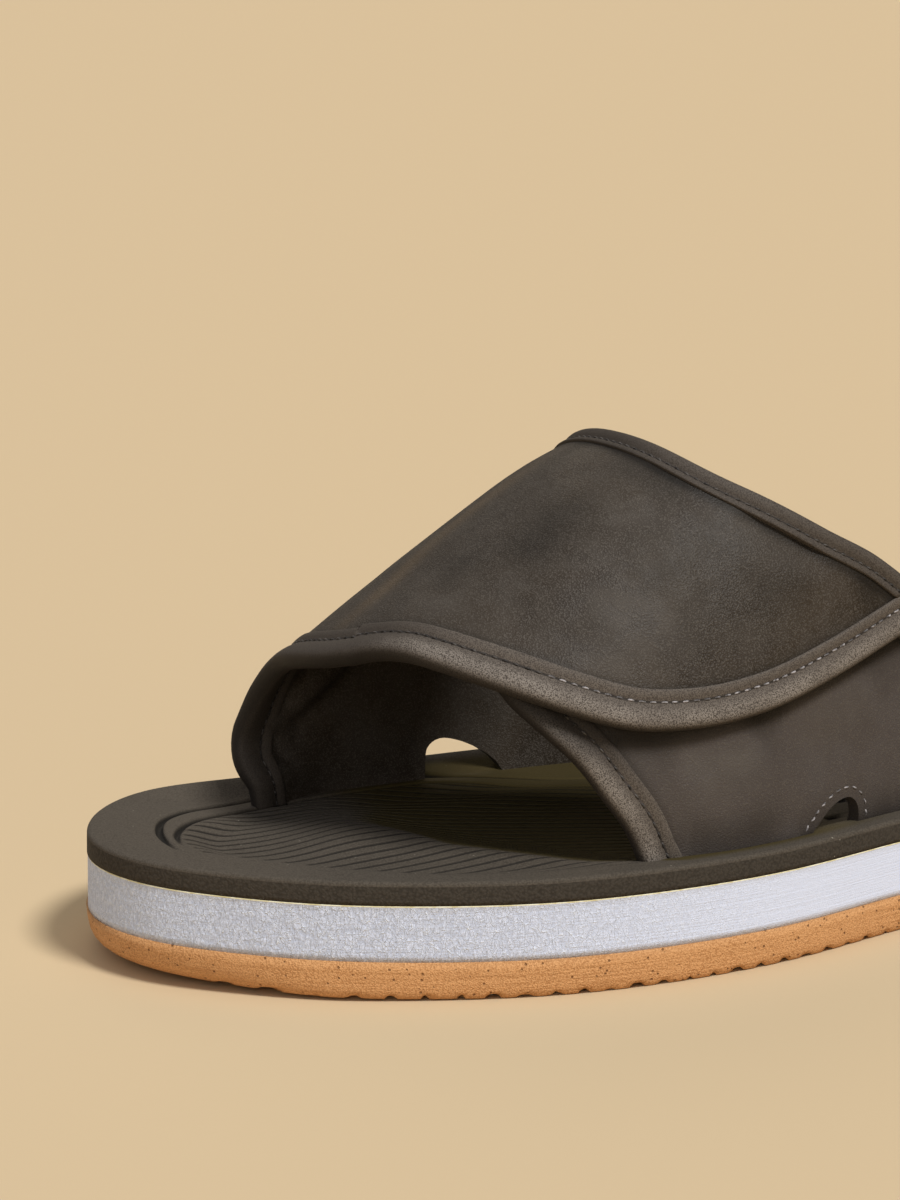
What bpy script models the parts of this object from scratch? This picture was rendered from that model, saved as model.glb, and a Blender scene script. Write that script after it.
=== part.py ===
# Slip-on sandal, left foot, with a strap of two panels that overlap over the instep.
# Metres. +X is the outer side of the foot, -Y the toe, +Z up. The origin lies under the middle of the sole.

import math

import bmesh
import bpy
import numpy as np

MM = 0.001

# Driving sizes of the sole
SOLE_LENGTH = 287 * MM
BALL_WIDTH = 109.5 * MM
OUTSOLE_THICKNESS = 7.6 * MM
MIDSOLE_THICKNESS = 11.1 * MM
FOOTBED_THICKNESS = 4.6 * MM
SEAM_GAP = 0.3 * MM
WALL_FLARE = 0.6 * MM
TOE_SPRING = 1.8 * MM
TOE_SPRING_RUN = 0.28
EDGE_ROUND = 1.2 * MM
TOE_ROLL = 4.5 * MM
TOE_ROLL_RUN = 0.12
LIP_ROUND = 0.8 * MM

# Tread grooves across the outsole
GROOVE_PITCH = 5.7 * MM
GROOVE_WIDTH = 2.3 * MM
GROOVE_DEPTH = 1.1 * MM
GROOVE_WAVE = 5.0 * MM
TREAD_MARGIN = 0.045

# Footbed relief. Each fade is where along the sole, from the toe, the rim's width starts and ends its change.
RIM_TOE = 15.0 * MM
RIM_MEDIAL = 10.0 * MM
RIM_LATERAL = 5.0 * MM
RIM_HEEL = 9.0 * MM
RIM_MEDIAL_FADE = (0.03, 0.33)
RIM_LATERAL_FADE = (0.01, 0.13)
RIM_HEEL_FADE = (0.78, 0.98)
BASIN_DEPTH = 1.8 * MM
BASIN_SLOPE = 6.0 * MM
SPINE_ENDS = (0.17, 0.86)

# Ridge under the toes, from its inner end to its outer end: share of the ball width from the middle, then along
CREST_LINE = ((-0.20, 0.170), (0.39, 0.315))
CREST_HEIGHT = 2.6 * MM
CREST_FRONT_RUN = 13.0 * MM
CREST_BACK_RUN = 15.0 * MM
CREST_FADE = 14.0 * MM

# Strap
PANEL_WALL = 2.8 * MM
BINDING_THICKNESS = 4.6 * MM
FRONT_BINDING_WIDTH = 8.3 * MM
BACK_BINDING_WIDTH = 5.2 * MM
LATERAL_INSET = 6.5 * MM
MEDIAL_INSET = 6.0 * MM
FRONT_RISE = 35.6 * MM
FRONT_RISE_AT = 0.181
BACK_RISE = 73.2 * MM
BACK_RISE_AT = 0.374
RISE_BELLY = 1.2 * MM
BACK_ROLL = 2.6 * MM
BACK_ROLL_FADE = (0.330, 0.430)
CROWN_SHIFT = 3.5 * MM
ARCH_POWER = 0.87
FRONT_TUCK = 6.0 * MM
TUCK_HEIGHT = 12.0 * MM
TUCK_FROM = 0.166
TUCK_RUN = 0.075
TAB_RISE_PER_DEGREE = 1.1 * MM
FLAP_TURN_ANGLE = 27

# Cut-outs at the foot of each side of the strap
CUTOUT_HEIGHT = 6.0 * MM
CUTOUT_LEAN = 0.12
CUTOUT_SQUARENESS = 0.8
LATERAL_CUTOUT_LENGTH = 13.0 * MM
LATERAL_CUTOUT_AT = 0.466
MEDIAL_CUTOUT_LENGTH = 17.0 * MM
MEDIAL_CUTOUT_AT = 0.316

# Outline of the sole: share of the length from the toe, then the inner and outer half widths
# as shares of half the ball width. The toe tip lies on the inner side.
OUTLINE = (
    # along, medial, lateral
    (0.018, 0.57, 0.12),
    (0.050, 0.80, 0.33),
    (0.100, 0.97, 0.56),
    (0.170, 1.00, 0.77),
    (0.250, 0.99, 0.93),
    (0.345, 0.97, 1.00),
    (0.440, 0.92, 0.97),
    (0.545, 0.82, 0.84),
    (0.650, 0.75, 0.76),
    (0.755, 0.72, 0.71),
    (0.845, 0.71, 0.66),
    (0.915, 0.63, 0.57),
    (0.970, 0.44, 0.38),
)
TOE_TIP = -0.25
HEEL_TIP = -0.03

# Edges of the strap on the arch. Angle 0 is the outer foot of the arch, 90 the crown and 180 the inner foot;
# along is the share of the sole length from the toe.
CLOSING_EDGE = (
    # angle, along
    (180, 0.162),
    (168, 0.155),
    (150, 0.163),
    (130, 0.169),
    (110, 0.166),
    (96, 0.170),
    (84, 0.184),
    (72, 0.196),
    (60, 0.208),
    (49, 0.224),
    (38, 0.248),
    (28.5, 0.279),
    (21.5, 0.316),
    (18, 0.362),
    (17, 0.420),
    (17.5, 0.480),
    (18.5, 0.540),
    (20, 0.620),
)
OVER_BACK_EDGE = (
    # angle, along
    (180, 0.545),
    (165, 0.502),
    (148, 0.458),
    (128, 0.418),
    (108, 0.398),
    (90, 0.396),
    (75, 0.404),
    (62, 0.421),
    (50, 0.450),
    (39, 0.488),
    (30, 0.532),
    (22, 0.570),
    (14, 0.596),
)
UNDER_FRONT_EDGE = (
    # angle, along
    (0, 0.321),
    (4, 0.312),
    (10, 0.296),
    (18, 0.279),
    (27, 0.260),
    (38, 0.243),
    (50, 0.234),
    (65, 0.226),
    (80, 0.218),
    (94, 0.210),
)
UNDER_BACK_EDGE = (
    # angle, along
    (0, 0.640),
    (8, 0.618),
    (16, 0.585),
    (25, 0.543),
    (35, 0.492),
    (47, 0.440),
    (60, 0.406),
    (76, 0.388),
    (94, 0.380),
)

# Side of the outsole: share of its height, of EDGE_ROUND and of TOE_ROLL
OUTSOLE_SIDE = (
    # height, edge round, toe roll
    (0.00, 1.00, 1.00),
    (0.08, 0.45, 0.72),
    (0.20, 0.10, 0.45),
    (0.45, 0.00, 0.15),
    (1.00, 0.00, 0.00),
)

# Section of a binding: share of its width from the folded edge, then of its half thickness
BINDING_SECTION = (
    (0.00, 0.00),
    (0.05, 0.62),
    (0.20, 1.00),
    (0.70, 1.00),
    (1.00, 0.78),
    (1.00, -0.78),
    (0.70, -1.00),
    (0.20, -1.00),
    (0.05, -0.62),
)

FLOOR_TO_RIM = OUTSOLE_THICKNESS + MIDSOLE_THICKNESS + FOOTBED_THICKNESS + 2 * SEAM_GAP
LAYER_OFFSET = (BINDING_THICKNESS + SEAM_GAP) / 2

# Mesh steps. An edge's points are spread as if the sole's length were this many degrees of the arch.
STATIONS = 48
DEGREES_PER_LENGTH = 240.0
BASIN_STEPS = (0.0, 0.35, 0.7, 1.0)
SPINE_STEPS = (0.22, 0.44, 0.66, 0.85, 1.0)
SHARP_ANGLE = 35


def along_to_y(share):
    """Place along the sole of a share of its length, counted from the toe."""
    return (share - 0.5) * SOLE_LENGTH


def smooth(t):
    t = np.clip(t, 0, 1)
    return t * t * (3 - 2 * t)


def closed_curve(points, per_span=24):
    """Smooth closed curve through the points: a periodic cubic spline over chord length."""
    points = np.array(points)
    count = len(points)
    chords = np.linalg.norm(np.roll(points, -1, 0) - points, axis=1)
    system = np.zeros((count, count))
    for i in range(count):
        before, after = chords[i - 1], chords[i]
        system[i, i - 1] += before
        system[i, i] += 2 * (before + after)
        system[i, (i + 1) % count] += after
    slopes = (np.roll(points, -1, 0) - points) / chords[:, None]
    bends = np.linalg.solve(system, 6 * (slopes - np.roll(slopes, 1, 0)))
    curve = []
    for i in range(count):
        here, there, h = points[i], points[(i + 1) % count], chords[i]
        for t in np.linspace(0, 1, per_span, endpoint=False):
            bend = ((1 - t) ** 3 - (1 - t)) * bends[i] + (t**3 - t) * bends[(i + 1) % count]
            curve.append((1 - t) * here + t * there + bend * h * h / 6)
    return np.array(curve)


def open_curve(rows, steps):
    """Smooth open curve through rows of a table, with its points evenly spread."""
    rows = np.array(rows, float)
    ends = np.array([2 * rows[0] - rows[1], 2 * rows[-1] - rows[-2]])
    padded = np.vstack([ends[:1], rows, ends[1:]])
    dense = []
    for i in range(1, len(padded) - 2):
        a, b, c, d = padded[i - 1 : i + 3]
        for t in np.linspace(0, 1, 16, endpoint=False):
            cubic = (2 * a - 5 * b + 4 * c - d) * t * t + (3 * b - a - 3 * c + d) * t**3
            dense.append(b + ((c - a) * t + cubic) / 2)
    dense = np.array(dense + [rows[-1]])
    span = dense * (1.0, DEGREES_PER_LENGTH)
    length = np.r_[0, np.cumsum(np.linalg.norm(np.diff(span, axis=0), axis=1))]
    wanted = np.linspace(0, length[-1], steps + 1)
    return np.stack([np.interp(wanted, length, dense[:, k]) for k in (0, 1)], 1)


def make_outline():
    """The outer outline, stretched to exactly SOLE_LENGTH by BALL_WIDTH and centred."""
    half = BALL_WIDTH / 2
    inner = [(-medial * half, along_to_y(along)) for along, medial, lateral in OUTLINE]
    outer = [(lateral * half, along_to_y(along)) for along, medial, lateral in OUTLINE]
    tip = [(TOE_TIP * half, -SOLE_LENGTH / 2)]
    back = [(HEEL_TIP * half, SOLE_LENGTH / 2)]
    curve = closed_curve(tip + outer + back + inner[::-1])
    low, high = curve.min(0), curve.max(0)
    return (curve - (low + high) / 2) * np.array((BALL_WIDTH, SOLE_LENGTH)) / (high - low)


OUTER_CURVE = make_outline()
TIP_INDEX = int(np.argmin(OUTER_CURVE[:, 1]))
ROLLED = np.roll(OUTER_CURVE, -TIP_INDEX, 0)
HEEL_INDEX = int(np.argmax(ROLLED[:, 1]))
LATERAL_SIDE = ROLLED[: HEEL_INDEX + 1]
MEDIAL_SIDE = np.vstack([ROLLED[HEEL_INDEX:], ROLLED[:1]])[::-1]


def edge_x(side, y):
    """X of the sole's edge at y, on the lateral (+1) or medial (-1) side."""
    line = LATERAL_SIDE if side > 0 else MEDIAL_SIDE
    return np.interp(y, line[:, 1], line[:, 0])


def station_ys():
    turns = np.linspace(0, math.pi, STATIONS + 1)
    return -SOLE_LENGTH / 2 * np.cos(turns)


def outline_ring():
    """Points once round the outline: toe tip, down the lateral side, heel tip, up the medial side."""
    ys = station_ys()
    lateral = [(edge_x(1, y), y) for y in ys]
    medial = [(edge_x(-1, y), y) for y in ys[-2:0:-1]]
    return np.array(lateral + medial)


RING = outline_ring()
TANGENTS = np.roll(RING, -1, 0) - np.roll(RING, 1, 0)
TANGENTS /= np.linalg.norm(TANGENTS, axis=1)[:, None]
INWARD = np.stack([-TANGENTS[:, 1], TANGENTS[:, 0]], 1)


def toe_lift(y):
    """Rise of every layer towards the toe."""
    run = TOE_SPRING_RUN * SOLE_LENGTH
    return TOE_SPRING * np.clip((along_to_y(0) + run - y) / run, 0, 1) ** 2


def inset_ring(inset, z):
    """The ring moved inwards by inset (a number or one per point), at height z plus the toe's lift."""
    flat = RING + INWARD * np.reshape(inset, (-1, 1)) * np.ones((len(RING), 1))
    return np.column_stack([flat, z + toe_lift(flat[:, 1])])


def spine_point(y):
    """Middle of the sole at y, kept clear of the round ends."""
    y = np.clip(y, along_to_y(SPINE_ENDS[0]), along_to_y(SPINE_ENDS[1]))
    return np.stack([(edge_x(1, y) + edge_x(-1, y)) / 2, y], -1)


def faded(share, fade):
    """0 before the fade, 1 after it."""
    return smooth((share - fade[0]) / (fade[1] - fade[0]))


def rim_width():
    """Width of the footbed's rim at each point of the ring."""
    share = RING[:, 1] / SOLE_LENGTH + 0.5
    lateral = RING[:, 0] > spine_point(RING[:, 1])[:, 0]
    side = np.where(lateral, RIM_LATERAL, RIM_MEDIAL)
    toe = 1 - np.where(lateral, faded(share, RIM_LATERAL_FADE), faded(share, RIM_MEDIAL_FADE))
    return side + toe * (RIM_TOE - side) + faded(share, RIM_HEEL_FADE) * (RIM_HEEL - side)


def crest_height(x, y):
    """The soft ridge under the toes, which runs obliquely from the middle to the lateral rim."""
    start, end = (np.array((share * BALL_WIDTH, along_to_y(along))) for share, along in CREST_LINE)
    line = (end - start) / np.linalg.norm(end - start)
    across = (x - start[0]) * line[1] * -1 + (y - start[1]) * line[0]
    along = (x - start[0]) * line[0] + (y - start[1]) * line[1]
    run = np.where(across < 0, CREST_FRONT_RUN, CREST_BACK_RUN)
    from_strap = edge_x(1, y) - x - LATERAL_INSET - BINDING_THICKNESS
    ends = smooth(along / CREST_FADE) * smooth(from_strap / CREST_FADE)
    return CREST_HEIGHT * np.exp(-((across / run) ** 2)) * ends


def footbed_rings():
    """Rings over the footbed's top, from the rim's inner edge to the spine."""
    rim = rim_width()
    rings = []
    for share in BASIN_STEPS:
        ring = inset_ring(rim + share * BASIN_SLOPE, FLOOR_TO_RIM)
        ring[:, 2] -= BASIN_DEPTH * smooth(share)
        ring[:, 2] += crest_height(ring[:, 0], ring[:, 1]) * smooth(share)
        rings.append(ring)
    edge = rings[-1]
    spine = spine_point(RING[:, 1])
    for share in SPINE_STEPS:
        flat = edge[:, :2] * (1 - share) + spine * share
        level = FLOOR_TO_RIM - BASIN_DEPTH + toe_lift(flat[:, 1]) + crest_height(flat[:, 0], flat[:, 1])
        rings.append(np.column_stack([flat, level]))
    return rings


def new_object(name, mesh, collection):
    thing = bpy.data.objects.new(name, mesh)
    collection.objects.link(thing)
    return thing


def mesh_of(name, work):
    """The finished mesh of a bmesh, its faces turned outwards."""
    bmesh.ops.recalc_face_normals(work, faces=work.faces)
    mesh = bpy.data.meshes.new(name)
    work.to_mesh(mesh)
    work.free()
    return mesh


def rings_to_mesh(name, rings, open_top=True):
    """Closed solid through rings of equal count. Rungs between opposite points close its bottom, and an open top."""
    work = bmesh.new()
    count = len(rings[0])
    rows = [[work.verts.new(tuple(point)) for point in ring] for ring in rings]
    for lower, upper in zip(rows, rows[1:]):
        for i in range(count):
            j = (i + 1) % count
            work.faces.new((lower[i], lower[j], upper[j], upper[i]))
    for row in (rows[0], rows[-1]) if open_top else (rows[0],):
        for i in range(count // 2):
            corners = [row[i], row[i + 1], row[-i - 1], row[-i % count]]
            face = [v for k, v in enumerate(corners) if v not in corners[:k]]
            work.faces.new(face)
    bmesh.ops.remove_doubles(work, verts=work.verts, dist=1e-6)
    return mesh_of(name, work)


def arch_rise(y):
    """Height of the strap's arch over its feet: a nearly straight climb that rolls level at the back."""
    front, back = along_to_y(FRONT_RISE_AT), along_to_y(BACK_RISE_AT)
    share = (y - front) / (back - front)
    rise = FRONT_RISE + (BACK_RISE - FRONT_RISE) * share
    belly = np.where(share < 1, 4 * share * (1 - share), -4 * (share - 1))
    return rise + RISE_BELLY * belly - BACK_ROLL * faded(y / SOLE_LENGTH + 0.5, BACK_ROLL_FADE)


def arch_point(angle, y):
    """Point of the arch's middle surface. Below angle 0 or above 180 it runs straight down."""
    angle, y = np.broadcast_arrays(np.asarray(angle, float), np.asarray(y, float))
    turn = np.radians(np.clip(angle, 0, 180))
    lateral_foot = edge_x(1, y) - WALL_FLARE - LATERAL_INSET - PANEL_WALL / 2 + LAYER_OFFSET
    medial_foot = edge_x(-1, y) + WALL_FLARE + MEDIAL_INSET + PANEL_WALL / 2 + LAYER_OFFSET
    reach = np.where(turn < math.pi / 2, lateral_foot - CROWN_SHIFT, CROWN_SHIFT - medial_foot)
    lift = np.abs(np.sin(turn)) ** ARCH_POWER * (angle > 0) * (angle < 180) * arch_rise(y)
    below = np.clip(-angle, 0, None) + np.clip(angle - 180, 0, None)
    base = FLOOR_TO_RIM + SEAM_GAP + toe_lift(y)
    x = CROWN_SHIFT + reach * np.sign(np.cos(turn)) * np.abs(np.cos(turn)) ** ARCH_POWER
    tuck = FRONT_TUCK * smooth((along_to_y(TUCK_FROM + TUCK_RUN) - y) / (TUCK_RUN * SOLE_LENGTH))
    x = x + np.where(angle > 90, tuck * (1 - smooth(lift / TUCK_HEIGHT)), 0)
    return np.stack([x, y, base + lift - below * TAB_RISE_PER_DEGREE], -1)


def arch_frame(angle, y):
    """Point, outward normal, and the surface's two slopes at each place."""
    step_angle, step_y = 0.4, 0.4 * MM
    by_angle = (arch_point(angle + step_angle, y) - arch_point(angle - step_angle, y)) / (2 * step_angle)
    by_y = (arch_point(angle, y + step_y) - arch_point(angle, y - step_y)) / (2 * step_y)
    normal = np.cross(by_y, by_angle)
    normal /= np.linalg.norm(normal, axis=-1, keepdims=True)
    return arch_point(angle, y), normal, by_angle, by_y


def edge_line(rows, steps):
    """An edge table as places (angle, y) evenly spread along the arch."""
    line = open_curve([(angle, along) for angle, along in rows], steps)
    return np.column_stack([line[:, 0], along_to_y(line[:, 1])])


def moved_in(line, distance, side):
    """The line moved over the arch by a real distance, to its left (+1) or right (-1)."""
    point, normal, by_angle, by_y = arch_frame(line[:, 0], line[:, 1])
    run = np.gradient(point, axis=0)
    run /= np.linalg.norm(run, axis=1)[:, None]
    inward = np.cross(normal, run) * side * distance
    moved = []
    for k in range(len(line)):
        slopes = np.stack([by_angle[k], by_y[k]], 1)
        moved.append(line[k] + np.linalg.lstsq(slopes, inward[k], rcond=None)[0])
    return np.array(moved)


def surface_points(line, height):
    point, normal, by_angle, by_y = arch_frame(line[:, 0], line[:, 1])
    return point + normal * height


def trimmed(line, angle):
    """The line cut or run on at its start, so that it begins at exactly this angle."""
    rising = line[-1, 0] > line[0, 0]
    kept = line[line[:, 0] > angle] if rising else line[line[:, 0] < angle]
    (a, ya), (b, yb) = kept[:2]
    first = (angle, ya + (angle - a) * (yb - ya) / (b - a))
    return np.vstack([first, kept])


def crossing(first, second):
    """Where two lines of places cross, with the index of the segment in each."""
    for i in range(len(first) - 1):
        for j in range(len(second) - 1):
            run, other = first[i + 1] - first[i], second[j + 1] - second[j]
            system = np.stack([run, -other], 1)
            if abs(np.linalg.det(system)) < 1e-12:
                continue
            s, t = np.linalg.solve(system, second[j] - first[i])
            if 0 <= s <= 1 and 0 <= t <= 1:
                return first[i] + s * run, i, j
    raise ValueError("the edges of the panel don't cross")


def ended(line, stop):
    """The line up to where it crosses the line called stop."""
    point, i, j = crossing(line, stop)
    return np.vstack([line[: i + 1], point])


def binding_mesh(name, line, width, side, layer, foot, stop=None):
    """Folded tape along an edge line, with a rounded outer edge, seated level at the arch's foot."""
    rings = []
    for across, thickness in BINDING_SECTION:
        moved = trimmed(moved_in(line, across * width, side), foot)
        if stop is not None:
            moved = ended(moved, stop)
        moved = resampled(moved, len(line) - 1)
        rings.append(surface_points(moved, layer + thickness * BINDING_THICKNESS / 2))
    rings = np.array(rings)
    work = bmesh.new()
    sections, stations = rings.shape[:2]
    rows = [[work.verts.new(tuple(rings[i, k])) for i in range(sections)] for k in range(stations)]
    for near, far in zip(rows, rows[1:]):
        for i in range(sections):
            j = (i + 1) % sections
            work.faces.new((near[i], near[j], far[j], far[i]))
    for end in (rows[0], rows[-1]):
        work.faces.new(end)
    bmesh.ops.triangulate(work, faces=[face for face in work.faces if len(face.verts) > 4])
    return mesh_of(name, work)


def resampled(line, count):
    """The line as this many equal steps over the arch."""
    length = np.r_[0, np.cumsum(np.linalg.norm(np.diff(surface_points(line, 0), axis=0), axis=1))]
    wanted = np.linspace(0, length[-1], count + 1)
    return np.stack([np.interp(wanted, length, line[:, k]) for k in (0, 1)], 1)


def patch_places(front, end, back, foot):
    """Grid of places on the arch inside four edge lines (front and back run from foot to end)."""
    across, along = len(front), len(foot)
    u = np.linspace(0, 1, across)[:, None, None]
    v = np.linspace(0, 1, along)[None, :, None]
    sides = front[:, None] * (1 - v) + back[:, None] * v + foot[None] * (1 - u) + end[None] * u
    corners = (
        front[0] * (1 - u) * (1 - v) + back[0] * (1 - u) * v + front[-1] * u * (1 - v) + back[-1] * u * v
    )
    return sides - corners


def panel_mesh(name, places, layer):
    """Leather wall over a grid of places, its two faces offset from the arch."""
    flat = places.reshape(-1, 2)
    faces = [surface_points(flat, layer + half * PANEL_WALL / 2) for half in (1, -1)]
    across, along = places.shape[:2]
    work = bmesh.new()
    outer, inner = (
        [[work.verts.new(tuple(face[i * along + j])) for j in range(along)] for i in range(across)]
        for face in faces
    )
    for i in range(across - 1):
        for j in range(along - 1):
            work.faces.new((outer[i][j], outer[i][j + 1], outer[i + 1][j + 1], outer[i + 1][j]))
            work.faces.new((inner[i][j], inner[i + 1][j], inner[i + 1][j + 1], inner[i][j + 1]))
    rim = [(i, 0) for i in range(across)] + [(across - 1, j) for j in range(1, along)]
    rim += [(i, along - 1) for i in range(across - 2, -1, -1)] + [(0, j) for j in range(along - 2, 0, -1)]
    for (a, b), (c, d) in zip(rim, rim[1:] + rim[:1]):
        work.faces.new((outer[a][b], outer[c][d], inner[c][d], inner[a][b]))
    return mesh_of(name, work)


def prisms_mesh(name, prisms):
    """One mesh of separate prisms, each a pair of equal rings of points."""
    work = bmesh.new()
    for lower, upper in prisms:
        ends = [[work.verts.new(tuple(point)) for point in ring] for ring in (lower, upper)]
        count = len(lower)
        for i in range(count):
            j = (i + 1) % count
            work.faces.new((ends[0][i], ends[0][j], ends[1][j], ends[1][i]))
        for end in ends:
            work.faces.new(end)
    return mesh_of(name, work)


def tread_mesh():
    """Shallow waved grooves across the outsole, which also scallop its lower edge."""
    prisms = []
    first, last = along_to_y(TREAD_MARGIN), along_to_y(1 - TREAD_MARGIN)
    count = int((last - first) / GROOVE_PITCH)
    xs = np.linspace(-0.6, 0.6, 5) * BALL_WIDTH
    wave = np.array((-0.5, 0.5, -0.5, 0.5, -0.5)) * GROOVE_WAVE
    for k in range(count + 1):
        middle = (first + last) / 2 + (k - count / 2) * GROOVE_PITCH
        near = np.column_stack([xs, middle + wave - GROOVE_WIDTH / 2])
        far = np.column_stack([xs, middle + wave + GROOVE_WIDTH / 2])[::-1]
        outline = np.vstack([near, far])
        top = float(toe_lift(middle)) + GROOVE_DEPTH
        lower = np.column_stack([outline, np.full(len(outline), -GROOVE_DEPTH)])
        upper = np.column_stack([outline, np.full(len(outline), top)])
        prisms.append((lower, upper))
    return prisms_mesh("tread_cutter", prisms)


def cutout_mesh(name, side, front_y, length, lean):
    """Arched cut-out through one side of the strap, from below its tabs. Its crown leans to the back (+) or front."""
    low = FLOOR_TO_RIM - FOOTBED_THICKNESS - 2 * SEAM_GAP
    base = FLOOR_TO_RIM + float(toe_lift(front_y))
    outline = [(front_y, low)]
    for turn in np.linspace(math.pi, 0, 11):
        rise = math.sin(turn) ** CUTOUT_SQUARENESS
        swing = math.copysign(abs(math.cos(turn)) ** CUTOUT_SQUARENESS, math.cos(turn))
        along = 0.5 + 0.5 * swing + lean * rise
        outline.append((front_y + length * along, base + CUTOUT_HEIGHT * rise))
    outline.append((front_y + length, low))
    prism = [[(x, y, z) for y, z in outline] for x in (0, side * BALL_WIDTH / 2)]
    return prisms_mesh(name, [prism])


def cut(thing, cutter):
    step = thing.modifiers.new(cutter.name, "BOOLEAN")
    step.operation = "DIFFERENCE"
    step.solver = "EXACT"
    step.object = cutter


def slot_mesh(name, places, foot, layer, spans):
    """Slits through the footbed for the strap's tabs, a seam gap wider all round."""
    prisms = []
    low = FLOOR_TO_RIM - FOOTBED_THICKNESS - 4 * SEAM_GAP
    high = FLOOR_TO_RIM + TOE_SPRING + 4 * SEAM_GAP
    half = PANEL_WALL / 2 + SEAM_GAP
    for start, end in spans:
        inside = [y for y in places[0, :, 1] if start < y < end]
        ys = np.array([start, *inside, end])
        line = np.column_stack([np.full(len(ys), float(foot)), ys])
        outer, inner = surface_points(line, layer + half), surface_points(line, layer - half)
        for side in (outer, inner):
            side[0, 1], side[-1, 1] = start - SEAM_GAP, end + SEAM_GAP
        outline = np.vstack([outer[:, :2], inner[::-1, :2]])
        prisms.append([np.column_stack([outline, np.full(len(outline), z)]) for z in (low, high)])
    return prisms_mesh(name, prisms)


def make_material(name, colour, roughness):
    material = bpy.data.materials.new(name)
    material.use_nodes = True
    shader = material.node_tree.nodes["Principled BSDF"]
    shader.inputs["Base Color"].default_value = (*colour, 1)
    shader.inputs["Roughness"].default_value = roughness
    shader.inputs["Metallic"].default_value = 0
    material.diffuse_color = (*colour, 1)
    return material


def finished(thing, material):
    thing.data.materials.append(material)
    thing.data.shade_smooth()
    thing.data.set_sharp_from_angle(angle=math.radians(SHARP_ANGLE))


def side_inset(z):
    """How far the sole's wall leans in at height z."""
    return WALL_FLARE * z / FLOOR_TO_RIM


def outsole_mesh():
    share = RING[:, 1] / SOLE_LENGTH + 0.5
    roll = TOE_ROLL * smooth((TOE_ROLL_RUN - share) / TOE_ROLL_RUN)
    rings = [
        inset_ring(EDGE_ROUND * edge + roll * toe, OUTSOLE_THICKNESS * height)
        for height, edge, toe in OUTSOLE_SIDE
    ]
    return rings_to_mesh("outsole", rings)


def midsole_mesh():
    low = OUTSOLE_THICKNESS + SEAM_GAP
    high = low + MIDSOLE_THICKNESS
    return rings_to_mesh("midsole", [inset_ring(side_inset(z), z) for z in (low, high)])


def footbed_mesh():
    low = FLOOR_TO_RIM - FOOTBED_THICKNESS
    rings = [
        inset_ring(side_inset(low), low),
        inset_ring(WALL_FLARE, FLOOR_TO_RIM - LIP_ROUND),
        inset_ring(WALL_FLARE + LIP_ROUND, FLOOR_TO_RIM),
    ]
    return rings_to_mesh("footbed", rings + footbed_rings(), open_top=False)


def with_tab(places, foot):
    """The places of a panel and of its tab, which ends a seam gap over the midsole."""
    degrees = (FOOTBED_THICKNESS + SEAM_GAP) / TAB_RISE_PER_DEGREE
    tab = places[:1].copy()
    tab[..., 0] += -degrees if foot == 0 else degrees
    return np.concatenate([tab, places])


def over_panel_places(closing, back):
    """Places of the medial panel with its flap, inside both of its bindings."""
    closing_in = trimmed(moved_in(closing, FRONT_BINDING_WIDTH + SEAM_GAP, 1), 180)
    back_in = trimmed(moved_in(back, BACK_BINDING_WIDTH + SEAM_GAP, -1), 180)
    back_in = ended(back_in, closing_in[len(closing_in) // 2 :])
    run_on = np.vstack([back_in, 2 * back_in[-1] - back_in[-2]])
    closing_in = ended(closing_in, run_on[len(back_in) // 2 :])
    turn = int(np.argmax(closing_in[:, 0] < FLAP_TURN_ANGLE))
    front = resampled(closing_in[: turn + 1], 26)
    end = resampled(closing_in[turn:], 10)
    side = resampled(back_in, 26)
    foot = resampled(np.array([front[0], side[0]]), 10)
    return patch_places(front, end, side, foot)


def under_panel_places(front_line, back_line):
    """Places of the lateral panel, between its bindings, up to its hidden end under the flap."""
    front_in = moved_in(front_line, FRONT_BINDING_WIDTH + SEAM_GAP, -1)
    back_in = moved_in(back_line, BACK_BINDING_WIDTH + SEAM_GAP, 1)
    front = resampled(trimmed(front_in, 0), 22)
    back = resampled(trimmed(back_in, 0), 22)
    end = resampled(np.array([front[-1], back[-1]]), 8)
    foot = resampled(np.array([front[0], back[0]]), 8)
    return patch_places(front, end, back, foot)


def foot_spans(places, layer, cutout_front, cutout_length):
    """The two tabs of a panel's foot, on either side of its cut-out."""
    faces = [surface_points(places[0], layer + half * PANEL_WALL / 2) for half in (1, -1)]
    ys = np.vstack(faces)[:, 1]
    return (ys.min(), cutout_front), (cutout_front + cutout_length, ys.max())


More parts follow.
